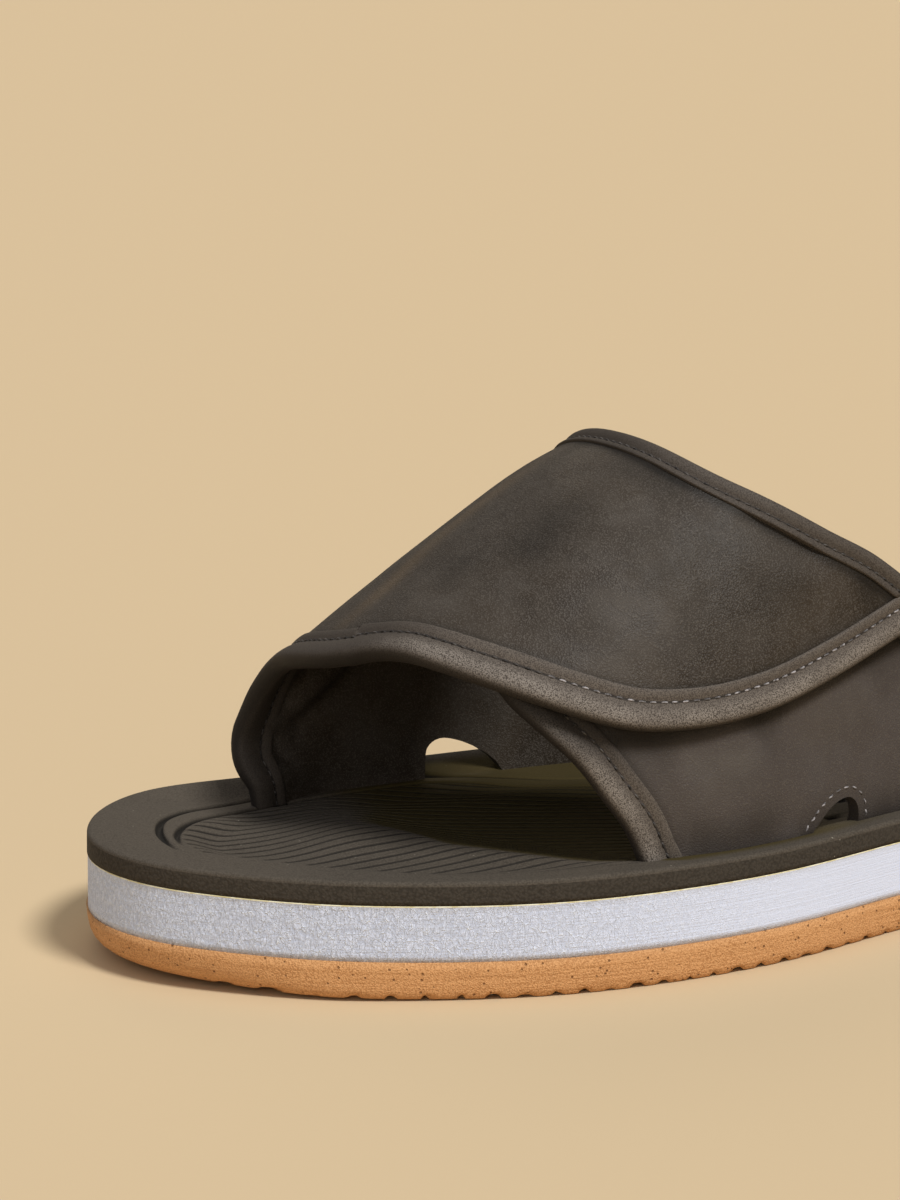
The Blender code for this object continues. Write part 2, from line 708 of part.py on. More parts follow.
def build():
    for thing in list(bpy.data.objects):
        bpy.data.objects.remove(thing, do_unlink=True)
    sandal = bpy.data.collections.new("slip_on_sandal")
    cutters = bpy.data.collections.new("cutters")
    for group in (sandal, cutters):
        bpy.context.scene.collection.children.link(group)

    leather = make_material("waxed_nubuck", (0.065, 0.055, 0.048), 0.62)
    tape = make_material("nubuck_tape", (0.090, 0.076, 0.066), 0.78)
    grey_foam = make_material("grey_foam", (0.075, 0.070, 0.062), 0.85)
    white_foam = make_material("white_foam", (0.720, 0.730, 0.760), 0.80)
    gum_foam = make_material("gum_foam", (0.720, 0.330, 0.115), 0.72)

    outsole = new_object("outsole", outsole_mesh(), sandal)
    midsole = new_object("midsole", midsole_mesh(), sandal)
    footbed = new_object("footbed", footbed_mesh(), sandal)
    cut(outsole, new_object("tread_cutter", tread_mesh(), cutters))

    closing = edge_line(CLOSING_EDGE, 46)
    over_back = edge_line(OVER_BACK_EDGE, 30)
    under_front = edge_line(UNDER_FRONT_EDGE, 22)
    under_back = edge_line(UNDER_BACK_EDGE, 22)
    over, under = LAYER_OFFSET, -LAYER_OFFSET

    over_places = over_panel_places(closing, over_back)
    under_places = under_panel_places(under_front, under_back)
    medial = panel_mesh("medial_strap", with_tab(over_places, 180), over)
    lateral = panel_mesh("lateral_strap", with_tab(under_places, 0), under)
    medial_strap = new_object("medial_strap", medial, sandal)
    lateral_strap = new_object("lateral_strap", lateral, sandal)

    flap_inside = moved_in(closing, FRONT_BINDING_WIDTH + SEAM_GAP, 1)[len(closing) // 2 :]
    flap_back = over_back[len(over_back) // 2 :]
    front_width, back_width = FRONT_BINDING_WIDTH, BACK_BINDING_WIDTH
    bindings = (
        ("medial_front_binding", closing, front_width, 1, over, 180, flap_back),
        ("medial_back_binding", over_back, back_width, -1, over, 180, flap_inside),
        ("lateral_front_binding", under_front, front_width, -1, under, 0),
        ("lateral_back_binding", under_back, back_width, 1, under, 0),
    )
    for name, *route in bindings:
        finished(new_object(name, binding_mesh(name, *route), sandal), tape)

    medial_cutout = (-1, along_to_y(MEDIAL_CUTOUT_AT), MEDIAL_CUTOUT_LENGTH, -CUTOUT_LEAN)
    lateral_cutout = (1, along_to_y(LATERAL_CUTOUT_AT), LATERAL_CUTOUT_LENGTH, CUTOUT_LEAN)
    for strap, places, foot, layer, cutout in (
        (medial_strap, over_places, 180, over, medial_cutout),
        (lateral_strap, under_places, 0, under, lateral_cutout),
    ):
        cutout_name, slot_name = strap.name + "_cutout", strap.name + "_slots"
        cut(strap, new_object(cutout_name, cutout_mesh(cutout_name, *cutout), cutters))
        spans = foot_spans(places, layer, *cutout[1:3])
        slots = slot_mesh(slot_name, places, foot, layer, spans)
        cut(footbed, new_object(slot_name, slots, cutters))

    for thing, material in (
        (outsole, gum_foam),
        (midsole, white_foam),
        (footbed, grey_foam),
        (medial_strap, leather),
        (lateral_strap, leather),
    ):
        finished(thing, material)
    for helper in cutters.objects:
        helper.hide_render = True
        helper.display_type = "WIRE"


build()
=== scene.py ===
import math

import bpy
import numpy as np
from mathutils import Matrix, Vector


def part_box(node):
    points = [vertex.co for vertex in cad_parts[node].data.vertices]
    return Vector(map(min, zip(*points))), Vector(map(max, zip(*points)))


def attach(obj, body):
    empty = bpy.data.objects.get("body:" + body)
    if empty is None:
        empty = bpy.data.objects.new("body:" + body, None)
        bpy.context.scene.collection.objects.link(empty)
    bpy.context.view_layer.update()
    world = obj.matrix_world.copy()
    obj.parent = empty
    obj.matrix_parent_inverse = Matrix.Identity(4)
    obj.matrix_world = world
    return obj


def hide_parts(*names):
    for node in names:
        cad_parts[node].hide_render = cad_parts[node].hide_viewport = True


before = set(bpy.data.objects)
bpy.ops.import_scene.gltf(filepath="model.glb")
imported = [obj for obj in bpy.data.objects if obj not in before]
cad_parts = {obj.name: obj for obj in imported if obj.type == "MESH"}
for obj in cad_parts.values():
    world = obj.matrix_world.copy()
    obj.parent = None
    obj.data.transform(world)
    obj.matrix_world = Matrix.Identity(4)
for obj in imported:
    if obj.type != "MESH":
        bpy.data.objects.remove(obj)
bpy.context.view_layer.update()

mm = 0.001
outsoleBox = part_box("outsole")
soleLength = outsoleBox[1].y - outsoleBox[0].y
ballWidth = outsoleBox[1].x - outsoleBox[0].x
randomDraws = np.random.default_rng(7)


# Sole: where its layers meet, and how its walls lean and its toe rises
sole = {
    "outsoleTop": 7.75 * mm,
    "midsoleTop": 19.15 * mm,
    "rim": 23.9 * mm,
    "flare": 0.6 * mm,
    "toeSpring": 1.8 * mm,
    "toeSpringRun": 0.28,
    "glueLine": 0.3 * mm,
}

# Share of the length from the toe, then the inner and outer half widths as shares of half the ball width
outlineRows = (
    (0.018, 0.57, 0.12),
    (0.050, 0.80, 0.33),
    (0.100, 0.97, 0.56),
    (0.170, 1.00, 0.77),
    (0.250, 0.99, 0.93),
    (0.345, 0.97, 1.00),
    (0.440, 0.92, 0.97),
    (0.545, 0.82, 0.84),
    (0.650, 0.75, 0.76),
    (0.755, 0.72, 0.71),
    (0.845, 0.71, 0.66),
    (0.915, 0.63, 0.57),
    (0.970, 0.44, 0.38),
)
toeTip, heelTip = -0.25, -0.03  # how far the tips lie off the middle, as shares of half the ball width


def alongToY(share):
    return (share - 0.5) * soleLength


def yToAlong(y):
    return y / soleLength + 0.5


def smooth(t):
    t = np.clip(t, 0, 1)
    return t * t * (3 - 2 * t)


def faded(share, fade):
    return smooth((share - fade[0]) / (fade[1] - fade[0]))


def between(span, share):
    return span[0] + (span[1] - span[0]) * share


def bell(distance, width):
    return np.exp(-((distance / width) ** 2))


def unit(vectors):
    return vectors / np.linalg.norm(vectors, axis=-1, keepdims=True)


def closedCurve(points, perSpan):
    points = np.array(points)
    count = len(points)
    chords = np.linalg.norm(np.roll(points, -1, 0) - points, axis=1)
    system = np.zeros((count, count))
    for i in range(count):
        before, after = chords[i - 1], chords[i]
        system[i, i - 1] += before
        system[i, i] += 2 * (before + after)
        system[i, (i + 1) % count] += after
    slopes = (np.roll(points, -1, 0) - points) / chords[:, None]
    bends = np.linalg.solve(system, 6 * (slopes - np.roll(slopes, 1, 0)))
    t = np.linspace(0, 1, perSpan, endpoint=False)[:, None]
    curve = []
    for i in range(count):
        here, there, h = points[i], points[(i + 1) % count], chords[i]
        bend = ((1 - t) ** 3 - (1 - t)) * bends[i] + (t**3 - t) * bends[(i + 1) % count]
        curve.append((1 - t) * here + t * there + bend * h * h / 6)
    return np.vstack(curve)


def openCurve(rows, perSpan=24):
    rows = np.array(rows, float)
    ends = np.array([2 * rows[0] - rows[1], 2 * rows[-1] - rows[-2]])
    padded = np.vstack([ends[:1], rows, ends[1:]])
    t = np.linspace(0, 1, perSpan, endpoint=False)[:, None]
    dense = []
    for i in range(1, len(padded) - 2):
        a, b, c, d = padded[i - 1 : i + 3]
        cubic = (2 * a - 5 * b + 4 * c - d) * t * t + (3 * b - a - 3 * c + d) * t**3
        dense.append(b + ((c - a) * t + cubic) / 2)
    return np.vstack(dense + [rows[-1:]])


def runLength(points):
    return np.r_[0, np.cumsum(np.linalg.norm(np.diff(points, axis=0), axis=1))]


def readAt(wanted, places, rows):
    return np.stack([np.interp(wanted, places, column) for column in rows.T], -1)


# Outline of the sole, as one line down each side from toe to heel, with the direction inwards at each point
def outlineSides():
    half = ballWidth / 2
    inner = [(-medial * half, alongToY(along)) for along, medial, lateral in outlineRows]
    outer = [(lateral * half, alongToY(along)) for along, medial, lateral in outlineRows]
    tip, back = [(toeTip * half, -soleLength / 2)], [(heelTip * half, soleLength / 2)]
    curve = closedCurve(tip + outer + back + inner[::-1], 60)
    low, high = curve.min(0), curve.max(0)
    curve = (curve - (low + high) / 2) * np.array((ballWidth, soleLength)) / (high - low)
    curve = np.roll(curve, -int(np.argmin(curve[:, 1])), 0)
    heel = int(np.argmax(curve[:, 1]))
    sides = {}
    for side, line in ((1, curve[: heel + 1]), (-1, np.vstack([curve[heel:], curve[:1]])[::-1])):
        run = unit(np.gradient(line, axis=0))
        inward = np.stack([-run[:, 1], run[:, 0]], 1) * side
        inward[0], inward[-1] = (0, 1), (0, -1)
        sides[side] = (line, inward)
    return sides


sides = outlineSides()
outlinePoints = np.vstack([sides[1][0], sides[-1][0]])


def edgeX(side, y):
    line = sides[side][0]
    return np.interp(y, line[:, 1], line[:, 0])


def edgePoints(side, ys):
    line, inward = sides[side]
    return np.column_stack([edgeX(side, ys), ys]), unit(readAt(ys, line[:, 1], inward))


def toeLift(y):
    run = sole["toeSpringRun"] * soleLength
    return sole["toeSpring"] * np.clip((alongToY(0) + run - y) / run, 0, 1) ** 2


def nearestDistance(points, line):
    best = np.full(len(points), np.inf)
    for start in range(0, len(line), 64):
        gap = points[:, None, :] - line[None, start : start + 64]
        best = np.minimum(best, np.sqrt((gap**2).sum(2)).min(1))
    return best


def lineDistance(points, line):
    # Distance to a line, signed + on its left, and the length along the line of the nearest point
    lengths = runLength(line)
    best = np.full(len(points), np.inf)
    sign = np.ones(len(points))
    place = np.zeros(len(points))
    for k in range(len(line) - 1):
        run = line[k + 1] - line[k]
        size = run @ run
        offset = points - line[k]
        t = np.clip(offset @ run / size, 0, 1)
        gap = np.linalg.norm(offset - t[:, None] * run, axis=1)
        closer = gap < best
        turn = run[0] * offset[:, 1] - run[1] * offset[:, 0]
        best[closer] = gap[closer]
        sign[closer] = np.sign(turn[closer])
        place[closer] = lengths[k] + t[closer] * (lengths[k + 1] - lengths[k])
    return best, sign, place


# Mesh helpers
def deselectAll():
    if bpy.context.object and bpy.context.object.mode != "OBJECT":
        bpy.ops.object.mode_set(mode="OBJECT")
    bpy.ops.object.select_all(action="DESELECT")


def pointsOf(piece):
    flat = np.empty(len(piece.data.vertices) * 3)
    piece.data.vertices.foreach_get("co", flat)
    return flat.reshape(-1, 3)


def setPoints(piece, points):
    piece.data.vertices.foreach_set("co", np.ascontiguousarray(points, float).ravel())
    piece.data.update()


def wrappedGrid(name, places, bands=()):
    # A grid primitive laid over an array of places: columns by rows by 3.
    # Bands are columns of another material: (first, last, material)
    columns, rows = places.shape[0] - 1, places.shape[1] - 1
    deselectAll()
    bpy.ops.mesh.primitive_grid_add(x_subdivisions=columns, y_subdivisions=rows, size=1)
    piece = bpy.context.object
    piece.name = piece.data.name = name
    share = pointsOf(piece)[:, :2] + 0.5
    column = np.rint(share[:, 0] * columns).astype(int)
    row = np.rint(share[:, 1] * rows).astype(int)
    if bands:
        centre = np.empty(len(piece.data.polygons) * 3)
        piece.data.polygons.foreach_get("center", centre)
        cell = (centre.reshape(-1, 3)[:, 0] + 0.5) * columns
        slots = np.zeros(len(cell), np.int32)
        for first, last, material in bands:
            slots[(cell > first) & (cell < last)] = material
        piece.data.polygons.foreach_set("material_index", slots)
    setPoints(piece, places[column, row])
    return piece, column, row


def addValues(piece, name, values):
    laid = piece.data.attributes.new(name, "FLOAT", "POINT")
    laid.data.foreach_set("value", np.ascontiguousarray(values, np.float32))


def pickUp(piece):
    deselectAll()
    piece.select_set(True)
    bpy.context.view_layer.objects.active = piece


def closeUp(piece, fillEnds=False):
    pickUp(piece)
    bpy.ops.object.mode_set(mode="EDIT")
    bpy.ops.mesh.select_mode(type="VERT")
    bpy.ops.mesh.select_all(action="SELECT")
    bpy.ops.mesh.remove_doubles(threshold=1e-6)
    if fillEnds:
        bpy.ops.mesh.select_all(action="DESELECT")
        bpy.ops.mesh.select_non_manifold()
        bpy.ops.mesh.edge_face_add()
    bpy.ops.mesh.select_all(action="SELECT")
    bpy.ops.mesh.normals_make_consistent(inside=False)
    bpy.ops.object.mode_set(mode="OBJECT")
    bpy.ops.object.shade_smooth()


def applyAll(piece):
    pickUp(piece)
    for modifier in list(piece.modifiers):
        bpy.ops.object.modifier_apply(modifier=modifier.name)


def dress(piece, materials, node=None):
    for material in materials:
        piece.data.materials.append(material)
    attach(piece, "root")
    if node:
        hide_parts(node)
    return piece


# Materials
def put(tree, kind, inputs=None, **settings):
    node = tree.nodes.new(kind)
    for key, value in settings.items():
        setattr(node, key, value)
    for key, value in (inputs or {}).items():
        if isinstance(value, bpy.types.NodeSocket):
            tree.links.new(value, node.inputs[key])
        elif value is not None:
            node.inputs[key].default_value = value
    return node


def mixed(tree, share, first, second, blend="MIX"):
    first, second = ((*value, 1) if isinstance(value, tuple) else value for value in (first, second))
    inputs = {0: share, 6: first, 7: second}  # 6 and 7 are the colours, and output 2 is their mix
    return put(tree, "ShaderNodeMix", inputs, data_type="RGBA", blend_type=blend).outputs[2]


def worked(tree, operation, first, second=None, third=None, clamp=False):
    inputs = {0: first, 1: second, 2: third}
    return put(tree, "ShaderNodeMath", inputs, operation=operation, use_clamp=clamp).outputs[0]


def times(tree, first, second, clamp=False):
    return worked(tree, "MULTIPLY", first, second, clamp=clamp)


def tinted(tree, colour, mask, share, towards):
    return mixed(tree, times(tree, mask, share), colour, towards)


def ranged(tree, value, low, high, toLow=0.0, toHigh=1.0):
    inputs = {"Value": value, "From Min": low, "From Max": high, "To Min": toLow, "To Max": toHigh}
    return put(tree, "ShaderNodeMapRange", inputs, interpolation_type="SMOOTHSTEP").outputs[0]


def noise(tree, vector, scale, detail=2.0, **more):
    inputs = {"Vector": vector, "Scale": scale, "Detail": detail, **more}
    return put(tree, "ShaderNodeTexNoise", inputs).outputs[0]


def attribute(tree, name):
    return put(tree, "ShaderNodeAttribute", attribute_name=name).outputs["Fac"]


def placeAlong(tree, coords, axis):
    return put(tree, "ShaderNodeSeparateXYZ", {"Vector": coords}).outputs[axis]


def stretched(tree, coords, scale):
    return put(tree, "ShaderNodeMapping", {"Vector": coords, "Scale": scale}).outputs["Vector"]


def newGroup(name, inputs, outputs):
    group = bpy.data.node_groups.new(name, "ShaderNodeTree")
    group.interface.new_socket("Vector", in_out="INPUT", socket_type="NodeSocketVector")
    for way, labels in (("INPUT", inputs), ("OUTPUT", outputs)):
        for label in labels:
            group.interface.new_socket(label, in_out=way, socket_type="NodeSocketFloat")
    return group, put(group, "NodeGroupInput").outputs, put(group, "NodeGroupOutput").inputs


def makeGrainGroup():
    group, given, out = newGroup("fineGrain", ("Scale",), ("Height", "Shade"))
    vector, scale = given["Vector"], given["Scale"]
    inputs = {"Vector": vector, "Scale": times(group, scale, 1.4), "Randomness": 1.0, "Smoothness": 0.6}
    cells = put(group, "ShaderNodeTexVoronoi", inputs, feature="SMOOTH_F1")
    lumps = worked(group, "SUBTRACT", 1.0, cells.outputs["Distance"])
    fine = noise(group, vector, scale, 3.0, Roughness=0.6)
    height = worked(group, "MULTIPLY_ADD", fine, 0.55, times(group, lumps, 0.45))
    group.links.new(height, out["Height"])
    group.links.new(ranged(group, height, 0.38, 0.62), out["Shade"])
    return group


def makeCloudGroup():
    group, given, out = newGroup("softClouds", ("Scale", "Low", "High"), ("Mask",))
    haze = noise(group, given["Vector"], given["Scale"], 4.0, Roughness=0.55, Distortion=0.6)
    group.links.new(ranged(group, haze, given["Low"], given["High"]), out["Mask"])
    return group


def makeSpeckGroup():
    group, given, out = newGroup("sparseSpecks", ("Scale", "Size", "Share"), ("Mask",))
    cells = put(group, "ShaderNodeTexVoronoi", {"Vector": given["Vector"], "Scale": given["Scale"]}).outputs
    dot = ranged(group, cells["Distance"], times(group, given["Size"], 0.5), given["Size"], 1.0, 0.0)
    chance = put(group, "ShaderNodeSeparateColor", {"Color": cells["Color"]}).outputs[0]
    kept = worked(group, "LESS_THAN", chance, given["Share"])
    group.links.new(times(group, dot, kept), out["Mask"])
    return group


grainGroup, cloudGroup, speckGroup = makeGrainGroup(), makeCloudGroup(), makeSpeckGroup()


def grainOf(tree, coords, scale):
    grain = put(tree, "ShaderNodeGroup", {"Vector": coords, "Scale": scale}, node_tree=grainGroup)
    return grain.outputs["Height"], grain.outputs["Shade"]


def clouds(tree, coords, scale, low, high):
    inputs = {"Vector": coords, "Scale": scale, "Low": low, "High": high}
    return put(tree, "ShaderNodeGroup", inputs, node_tree=cloudGroup).outputs[0]


def specks(tree, coords, scale, size, share):
    inputs = {"Vector": coords, "Scale": scale, "Size": size, "Share": share}
    return put(tree, "ShaderNodeGroup", inputs, node_tree=speckGroup).outputs[0]


def newMaterial(name, roughness, specular):
    material = bpy.data.materials.new(name)
    material.use_nodes = True
    tree = material.node_tree
    shader = tree.nodes["Principled BSDF"]
    shader.inputs["Roughness"].default_value = roughness
    shader.inputs["Specular IOR Level"].default_value = specular
    return material, tree, shader, put(tree, "ShaderNodeTexCoord").outputs["Object"]


def finishLook(tree, shader, colour, height=None, distance=1.0 * mm):
    tree.links.new(colour, shader.inputs["Base Color"])
    if height is not None:
        bump = put(tree, "ShaderNodeBump", {"Height": height, "Distance": distance, "Strength": 1.0})
        tree.links.new(bump.outputs["Normal"], shader.inputs["Normal"])


gumLook = {
    "light": (0.66, 0.35, 0.150),
    "dark": (0.42, 0.195, 0.070),
    "pore": (0.20, 0.08, 0.025),
    "grainScale": 2300.0,
    "pores": (760.0, 0.23, 0.36),  # scale, size and the share of cells that have one
    "bump": 0.30 * mm,
}


def makeGumFoam():
    look = gumLook
    material, tree, shader, coords = newMaterial("gumFoam", 0.75, 0.3)
    grain, shade = grainOf(tree, coords, look["grainScale"])
    pores = specks(tree, coords, *look["pores"])
    streaks = noise(tree, stretched(tree, coords, (40.0, 40.0, 1900.0)), 1.0)
    colour = mixed(tree, shade, look["dark"], look["light"])
    colour = tinted(tree, colour, clouds(tree, coords, 60.0, 0.3, 0.7), 0.35, look["light"])
    colour = tinted(tree, colour, ranged(tree, streaks, 0.5, 0.75), 0.4, look["dark"])
    colour = tinted(tree, colour, pores, 0.85, look["pore"])
    height = worked(tree, "SUBTRACT", worked(tree, "MULTIPLY_ADD", streaks, 0.5, grain), pores)
    finishLook(tree, shader, colour, height, look["bump"])
    return material


whiteLook = {
    "light": (0.655, 0.715, 0.875),
    "dark": (0.50, 0.55, 0.685),
    "ridge": (0.86, 0.91, 0.99),
    "crackle": 960.0,
    "crackledTo": (-0.118, 0.004),  # where along the shoe the crackle starts to fade and ends
    "ridgeWidth": 0.055,
    "bump": 0.40 * mm,
}


def makeWhiteFoam():
    look = whiteLook
    material, tree, shader, coords = newMaterial("whiteFoam", 0.7, 0.3)
    crackled = ranged(tree, placeAlong(tree, coords, "Y"), *look["crackledTo"], 1.0, 0.10)
    upright = stretched(tree, coords, (1.0, 1.0, 0.62))
    wander = put(tree, "ShaderNodeTexNoise", {"Vector": coords, "Scale": 420.0, "Detail": 2.0})
    shifted = mixed(tree, 0.0011, upright, wander.outputs["Color"], "ADD")
    ridges = []
    for scale in (look["crackle"], look["crackle"] * 2.1):
        inputs = {"Vector": shifted, "Scale": scale}
        cells = put(tree, "ShaderNodeTexVoronoi", inputs, feature="DISTANCE_TO_EDGE")
        ridges.append(ranged(tree, cells.outputs["Distance"], 0.0, look["ridgeWidth"], 1.0, 0.0))
    lumps = noise(tree, upright, look["crackle"] * 1.3, 3.0, Roughness=0.6)
    streaks = noise(tree, stretched(tree, coords, (25.0, 25.0, 2400.0)), 1.0, 3.0)
    lines = worked(tree, "MULTIPLY_ADD", ridges[1], 0.35, times(tree, ridges[0], 0.65))
    lines = times(tree, lines, ranged(tree, lumps, 0.30, 0.55))
    height = worked(tree, "MULTIPLY_ADD", lumps, 0.9, times(tree, lines, 0.45))
    height = worked(tree, "MULTIPLY_ADD", streaks, 0.26, times(tree, height, crackled))
    height = worked(tree, "MULTIPLY_ADD", noise(tree, coords, 3200.0), 0.20, height)
    colour = mixed(tree, ranged(tree, lumps, 0.35, 0.6), look["dark"], look["light"])
    colour = mixed(tree, lines, colour, look["ridge"])
    colour = mixed(tree, crackled, look["light"], colour)
    finishLook(tree, shader, colour, height, look["bump"])
    return material


greyLook = {
    "light": (0.080, 0.067, 0.052),
    "dark": (0.050, 0.041, 0.031),
    "cut": 0.60,  # the cut side is darker by this
    "speck": (0.36, 0.33, 0.27),
    # the colour of painted shade in the ring grooves and between the ribs
    "grooveShade": (0.006, 0.005, 0.004),
    "paintedShadowUnderStrap": (0.044, 0.031, 0.0035),
}


def makeGreyFoam(name, cut):
    look = greyLook
    material, tree, shader, coords = newMaterial(name, 0.85, 0.25)
    grain, shade = grainOf(tree, coords, 1300.0 if cut else 2100.0)
    dark, light = (tuple(c * (look["cut"] if cut else 1) for c in look[tone]) for tone in ("dark", "light"))
    colour = mixed(tree, shade, dark, light)
    colour = tinted(tree, colour, clouds(tree, coords, 45.0, 0.3, 0.75), 0.3, light)
    colour = tinted(tree, colour, specks(tree, coords, 420.0, 0.11, 0.16), 0.5, look["speck"])
    height = times(tree, grain, 0.22 if cut else 0.12)
    if not cut:
        # Ribs are drawn where the laid count of turns is near a whole number. Painted shade darkens the rib
        # lines and the two ring grooves
        turns = attribute(tree, "ribTurns")
        apart = worked(tree, "ABSOLUTE", worked(tree, "SUBTRACT", turns, worked(tree, "ROUND", turns)))
        line = times(tree, ranged(tree, apart, 0.085, 0.20, 1.0, 0.0), attribute(tree, "ribShare"))
        grooveShade = ranged(tree, attribute(tree, "grooveShade"), 0.12, 0.70)
        line = worked(tree, "MAXIMUM", times(tree, line, 0.88), grooveShade)
        # Painted shadow under the strap, laid as the "shade" mask
        colour = tinted(tree, colour, attribute(tree, "shade"), 0.85, look["paintedShadowUnderStrap"])
        colour = tinted(tree, colour, line, 0.92, look["grooveShade"])
        height = worked(tree, "MULTIPLY_ADD", line, -0.3, height)
    finishLook(tree, shader, colour, height)
    return material


def makeGlue():
    material, tree, shader, coords = newMaterial("paleGlue", 0.5, 0.4)
    broken = clouds(tree, coords, 400.0, 0.35, 0.65)
    finishLook(tree, shader, mixed(tree, broken, (0.62, 0.55, 0.30), (0.82, 0.80, 0.62)))
    return material


leatherLook = {
    "deep": (0.021, 0.0145, 0.0085),
    "middle": (0.036, 0.0265, 0.0175),
    "pale": (0.060, 0.051, 0.042),
    "tip": (0.125, 0.110, 0.092),
    "litAndRubbed": (0.094, 0.083, 0.072),
    "waxedAndShaded": (0.006, 0.004, 0.002),
    # the outer panel's paler, greyer leather: partly its own hue, partly painted light on the side facing
    # the key light
    "side": (0.094, 0.082, 0.082),
    "warmReflection": (0.150, 0.100, 0.050),
    "grainScale": 2100.0,
    "bump": 0.20 * mm,
}


def makeLeather(name, sideShare):
    look = leatherLook
    material, tree, shader, coords = newMaterial(name, 0.56, 0.26)
    grain, shade = grainOf(tree, coords, look["grainScale"])
    smudge = clouds(tree, coords, 95.0, 0.38, 0.66)
    colour = mixed(tree, clouds(tree, coords, 30.0, 0.40, 0.62), look["deep"], look["middle"])
    colour = tinted(tree, colour, smudge, 0.30, look["pale"])
    colour = tinted(tree, colour, clouds(tree, coords, 270.0, 0.42, 0.62), 0.20, look["pale"])
    # Mixed towards the outer panel's colour: partly its own greyer hue, partly painted light
    colour = mixed(tree, sideShare, colour, look["side"])
    # Tone laid on the mesh: above 0 paler, below 0 darker. It holds the rubbed and waxed mottle, a painted
    # highlight, painted shade and painted shadow lines
    tone = attribute(tree, "tone")
    patchy = worked(tree, "MULTIPLY_ADD", smudge, 1.0, 0.40)
    pale = times(tree, worked(tree, "MAXIMUM", tone, 0.0), patchy, clamp=True)
    dark = worked(tree, "MAXIMUM", times(tree, tone, -1.0), 0.0, clamp=True)
    colour = mixed(tree, pale, colour, look["litAndRubbed"])
    colour = tinted(tree, colour, shade, 0.30, look["pale"])
    colour = tinted(tree, colour, ranged(tree, grain, 0.53, 0.64), 0.34, look["tip"])
    colour = tinted(tree, colour, dark, 0.92, look["waxedAndShaded"])
    # Painted warm reflection along the top of the arch
    colour = tinted(tree, colour, attribute(tree, "warmReflection"), 0.55, look["warmReflection"])
    tree.links.new(ranged(tree, smudge, 0.0, 1.0, 0.52, 0.68), shader.inputs["Roughness"])
    finishLook(tree, shader, colour, grain, look["bump"])
    return material


tapeLook = {
    "dark": (0.050, 0.040, 0.032),
    "light": (0.150, 0.127, 0.106),
    "brushedAndHighlight": (0.250, 0.220, 0.190),
    "shaded": (0.028, 0.0215, 0.016),
    # the colour of painted shade at the tape's lower edge, under the flap and along the stitch valley
    "seam": (0.008, 0.006, 0.005),
    "seamAt": 0.685,  # share of the tape's width from its folded edge
    "grainScale": 3300.0,
    "bump": 0.10 * mm,
}


def makeTape(name, paleness):
    look = tapeLook
    material, tree, shader, coords = newMaterial(name, 0.74, 0.3)
    grain, shade = grainOf(tree, coords, look["grainScale"])
    across = attribute(tree, "acrossTape")
    # Painted light: paler towards the outer side of the foot, which faces the key light, and a painted
    # highlight, partly wear, on the middle of the fold rather than beside the seam
    litAndRubbed = ranged(tree, placeAlong(tree, coords, "X"), 0.004, 0.030)
    fold = times(tree, ranged(tree, across, 0.04, 0.24), ranged(tree, across, 0.36, 0.62, 1.0, 0.0))
    fold = times(tree, times(tree, fold, litAndRubbed), paleness)
    patchy = worked(tree, "MULTIPLY_ADD", clouds(tree, coords, 110.0, 0.35, 0.7), 0.5, 0.5)
    fromSeam = worked(tree, "ABSOLUTE", worked(tree, "SUBTRACT", across, look["seamAt"]))
    colour = tinted(tree, look["dark"], shade, 0.7, look["light"])
    # Painted shade on the tape away from the outer side, then the painted highlight on the fold
    colour = mixed(tree, worked(tree, "MULTIPLY_ADD", litAndRubbed, -0.70, 0.70), colour, look["shaded"])
    colour = mixed(tree, times(tree, times(tree, fold, patchy), shade), colour, look["brushedAndHighlight"])
    colour = mixed(tree, (1 - paleness) * 0.6, colour, look["shaded"])
    # Painted shade at the tape's folded lower edge
    colour = mixed(tree, ranged(tree, across, 0.0, 0.14, 0.75, 0.0), colour, look["seam"])
    # Painted shadow under the flap's edge
    colour = tinted(tree, colour, attribute(tree, "flapShadow"), 0.85, look["seam"])
    # Painted shade along the valley of the stitch line
    colour = tinted(tree, colour, ranged(tree, fromSeam, 0.012, 0.045, 1.0, 0.0), 0.8, look["seam"])
    finishLook(tree, shader, colour, grain, look["bump"])
    return material


liningLook = {
    "dark": (0.009, 0.007, 0.004),
    "light": (0.028, 0.022, 0.014),
    "litNap": (0.115, 0.100, 0.086),
    # the colour of painted shadow in the lining's creases
    "fold": (0.003, 0.0025, 0.002),
    "litNapAlong": (-0.090, -0.060),  # painted light: a paler grey sheen on the nap low down at the front
    "litNapUp": (0.034, 0.066),
}


def makeLining():
    look = liningLook
    material, tree, shader, coords = newMaterial("darkLining", 0.8, 0.25)
    grain, shade = grainOf(tree, coords, 1500.0)
    fades = [ranged(tree, placeAlong(tree, coords, axis), *look[span], 1.0, 0.0)
             for axis, span in (("Y", "litNapAlong"), ("Z", "litNapUp"))]
    colour = mixed(tree, shade, look["dark"], look["light"])
    # Painted light on the nap low down at the front
    colour = tinted(tree, colour, times(tree, *fades), 0.85, look["litNap"])
    # Painted shadow in the lining's creases
    colour = tinted(tree, colour, attribute(tree, "fold"), 0.9, look["fold"])
    finishLook(tree, shader, colour, grain, 0.1 * mm)
    return material


def makeThread(name, dark, light):
    material, tree, shader, coords = newMaterial(name, 0.6, 0.4)
    finishLook(tree, shader, mixed(tree, ranged(tree, noise(tree, coords, 900.0), 0.35, 0.65), dark, light))
    return material


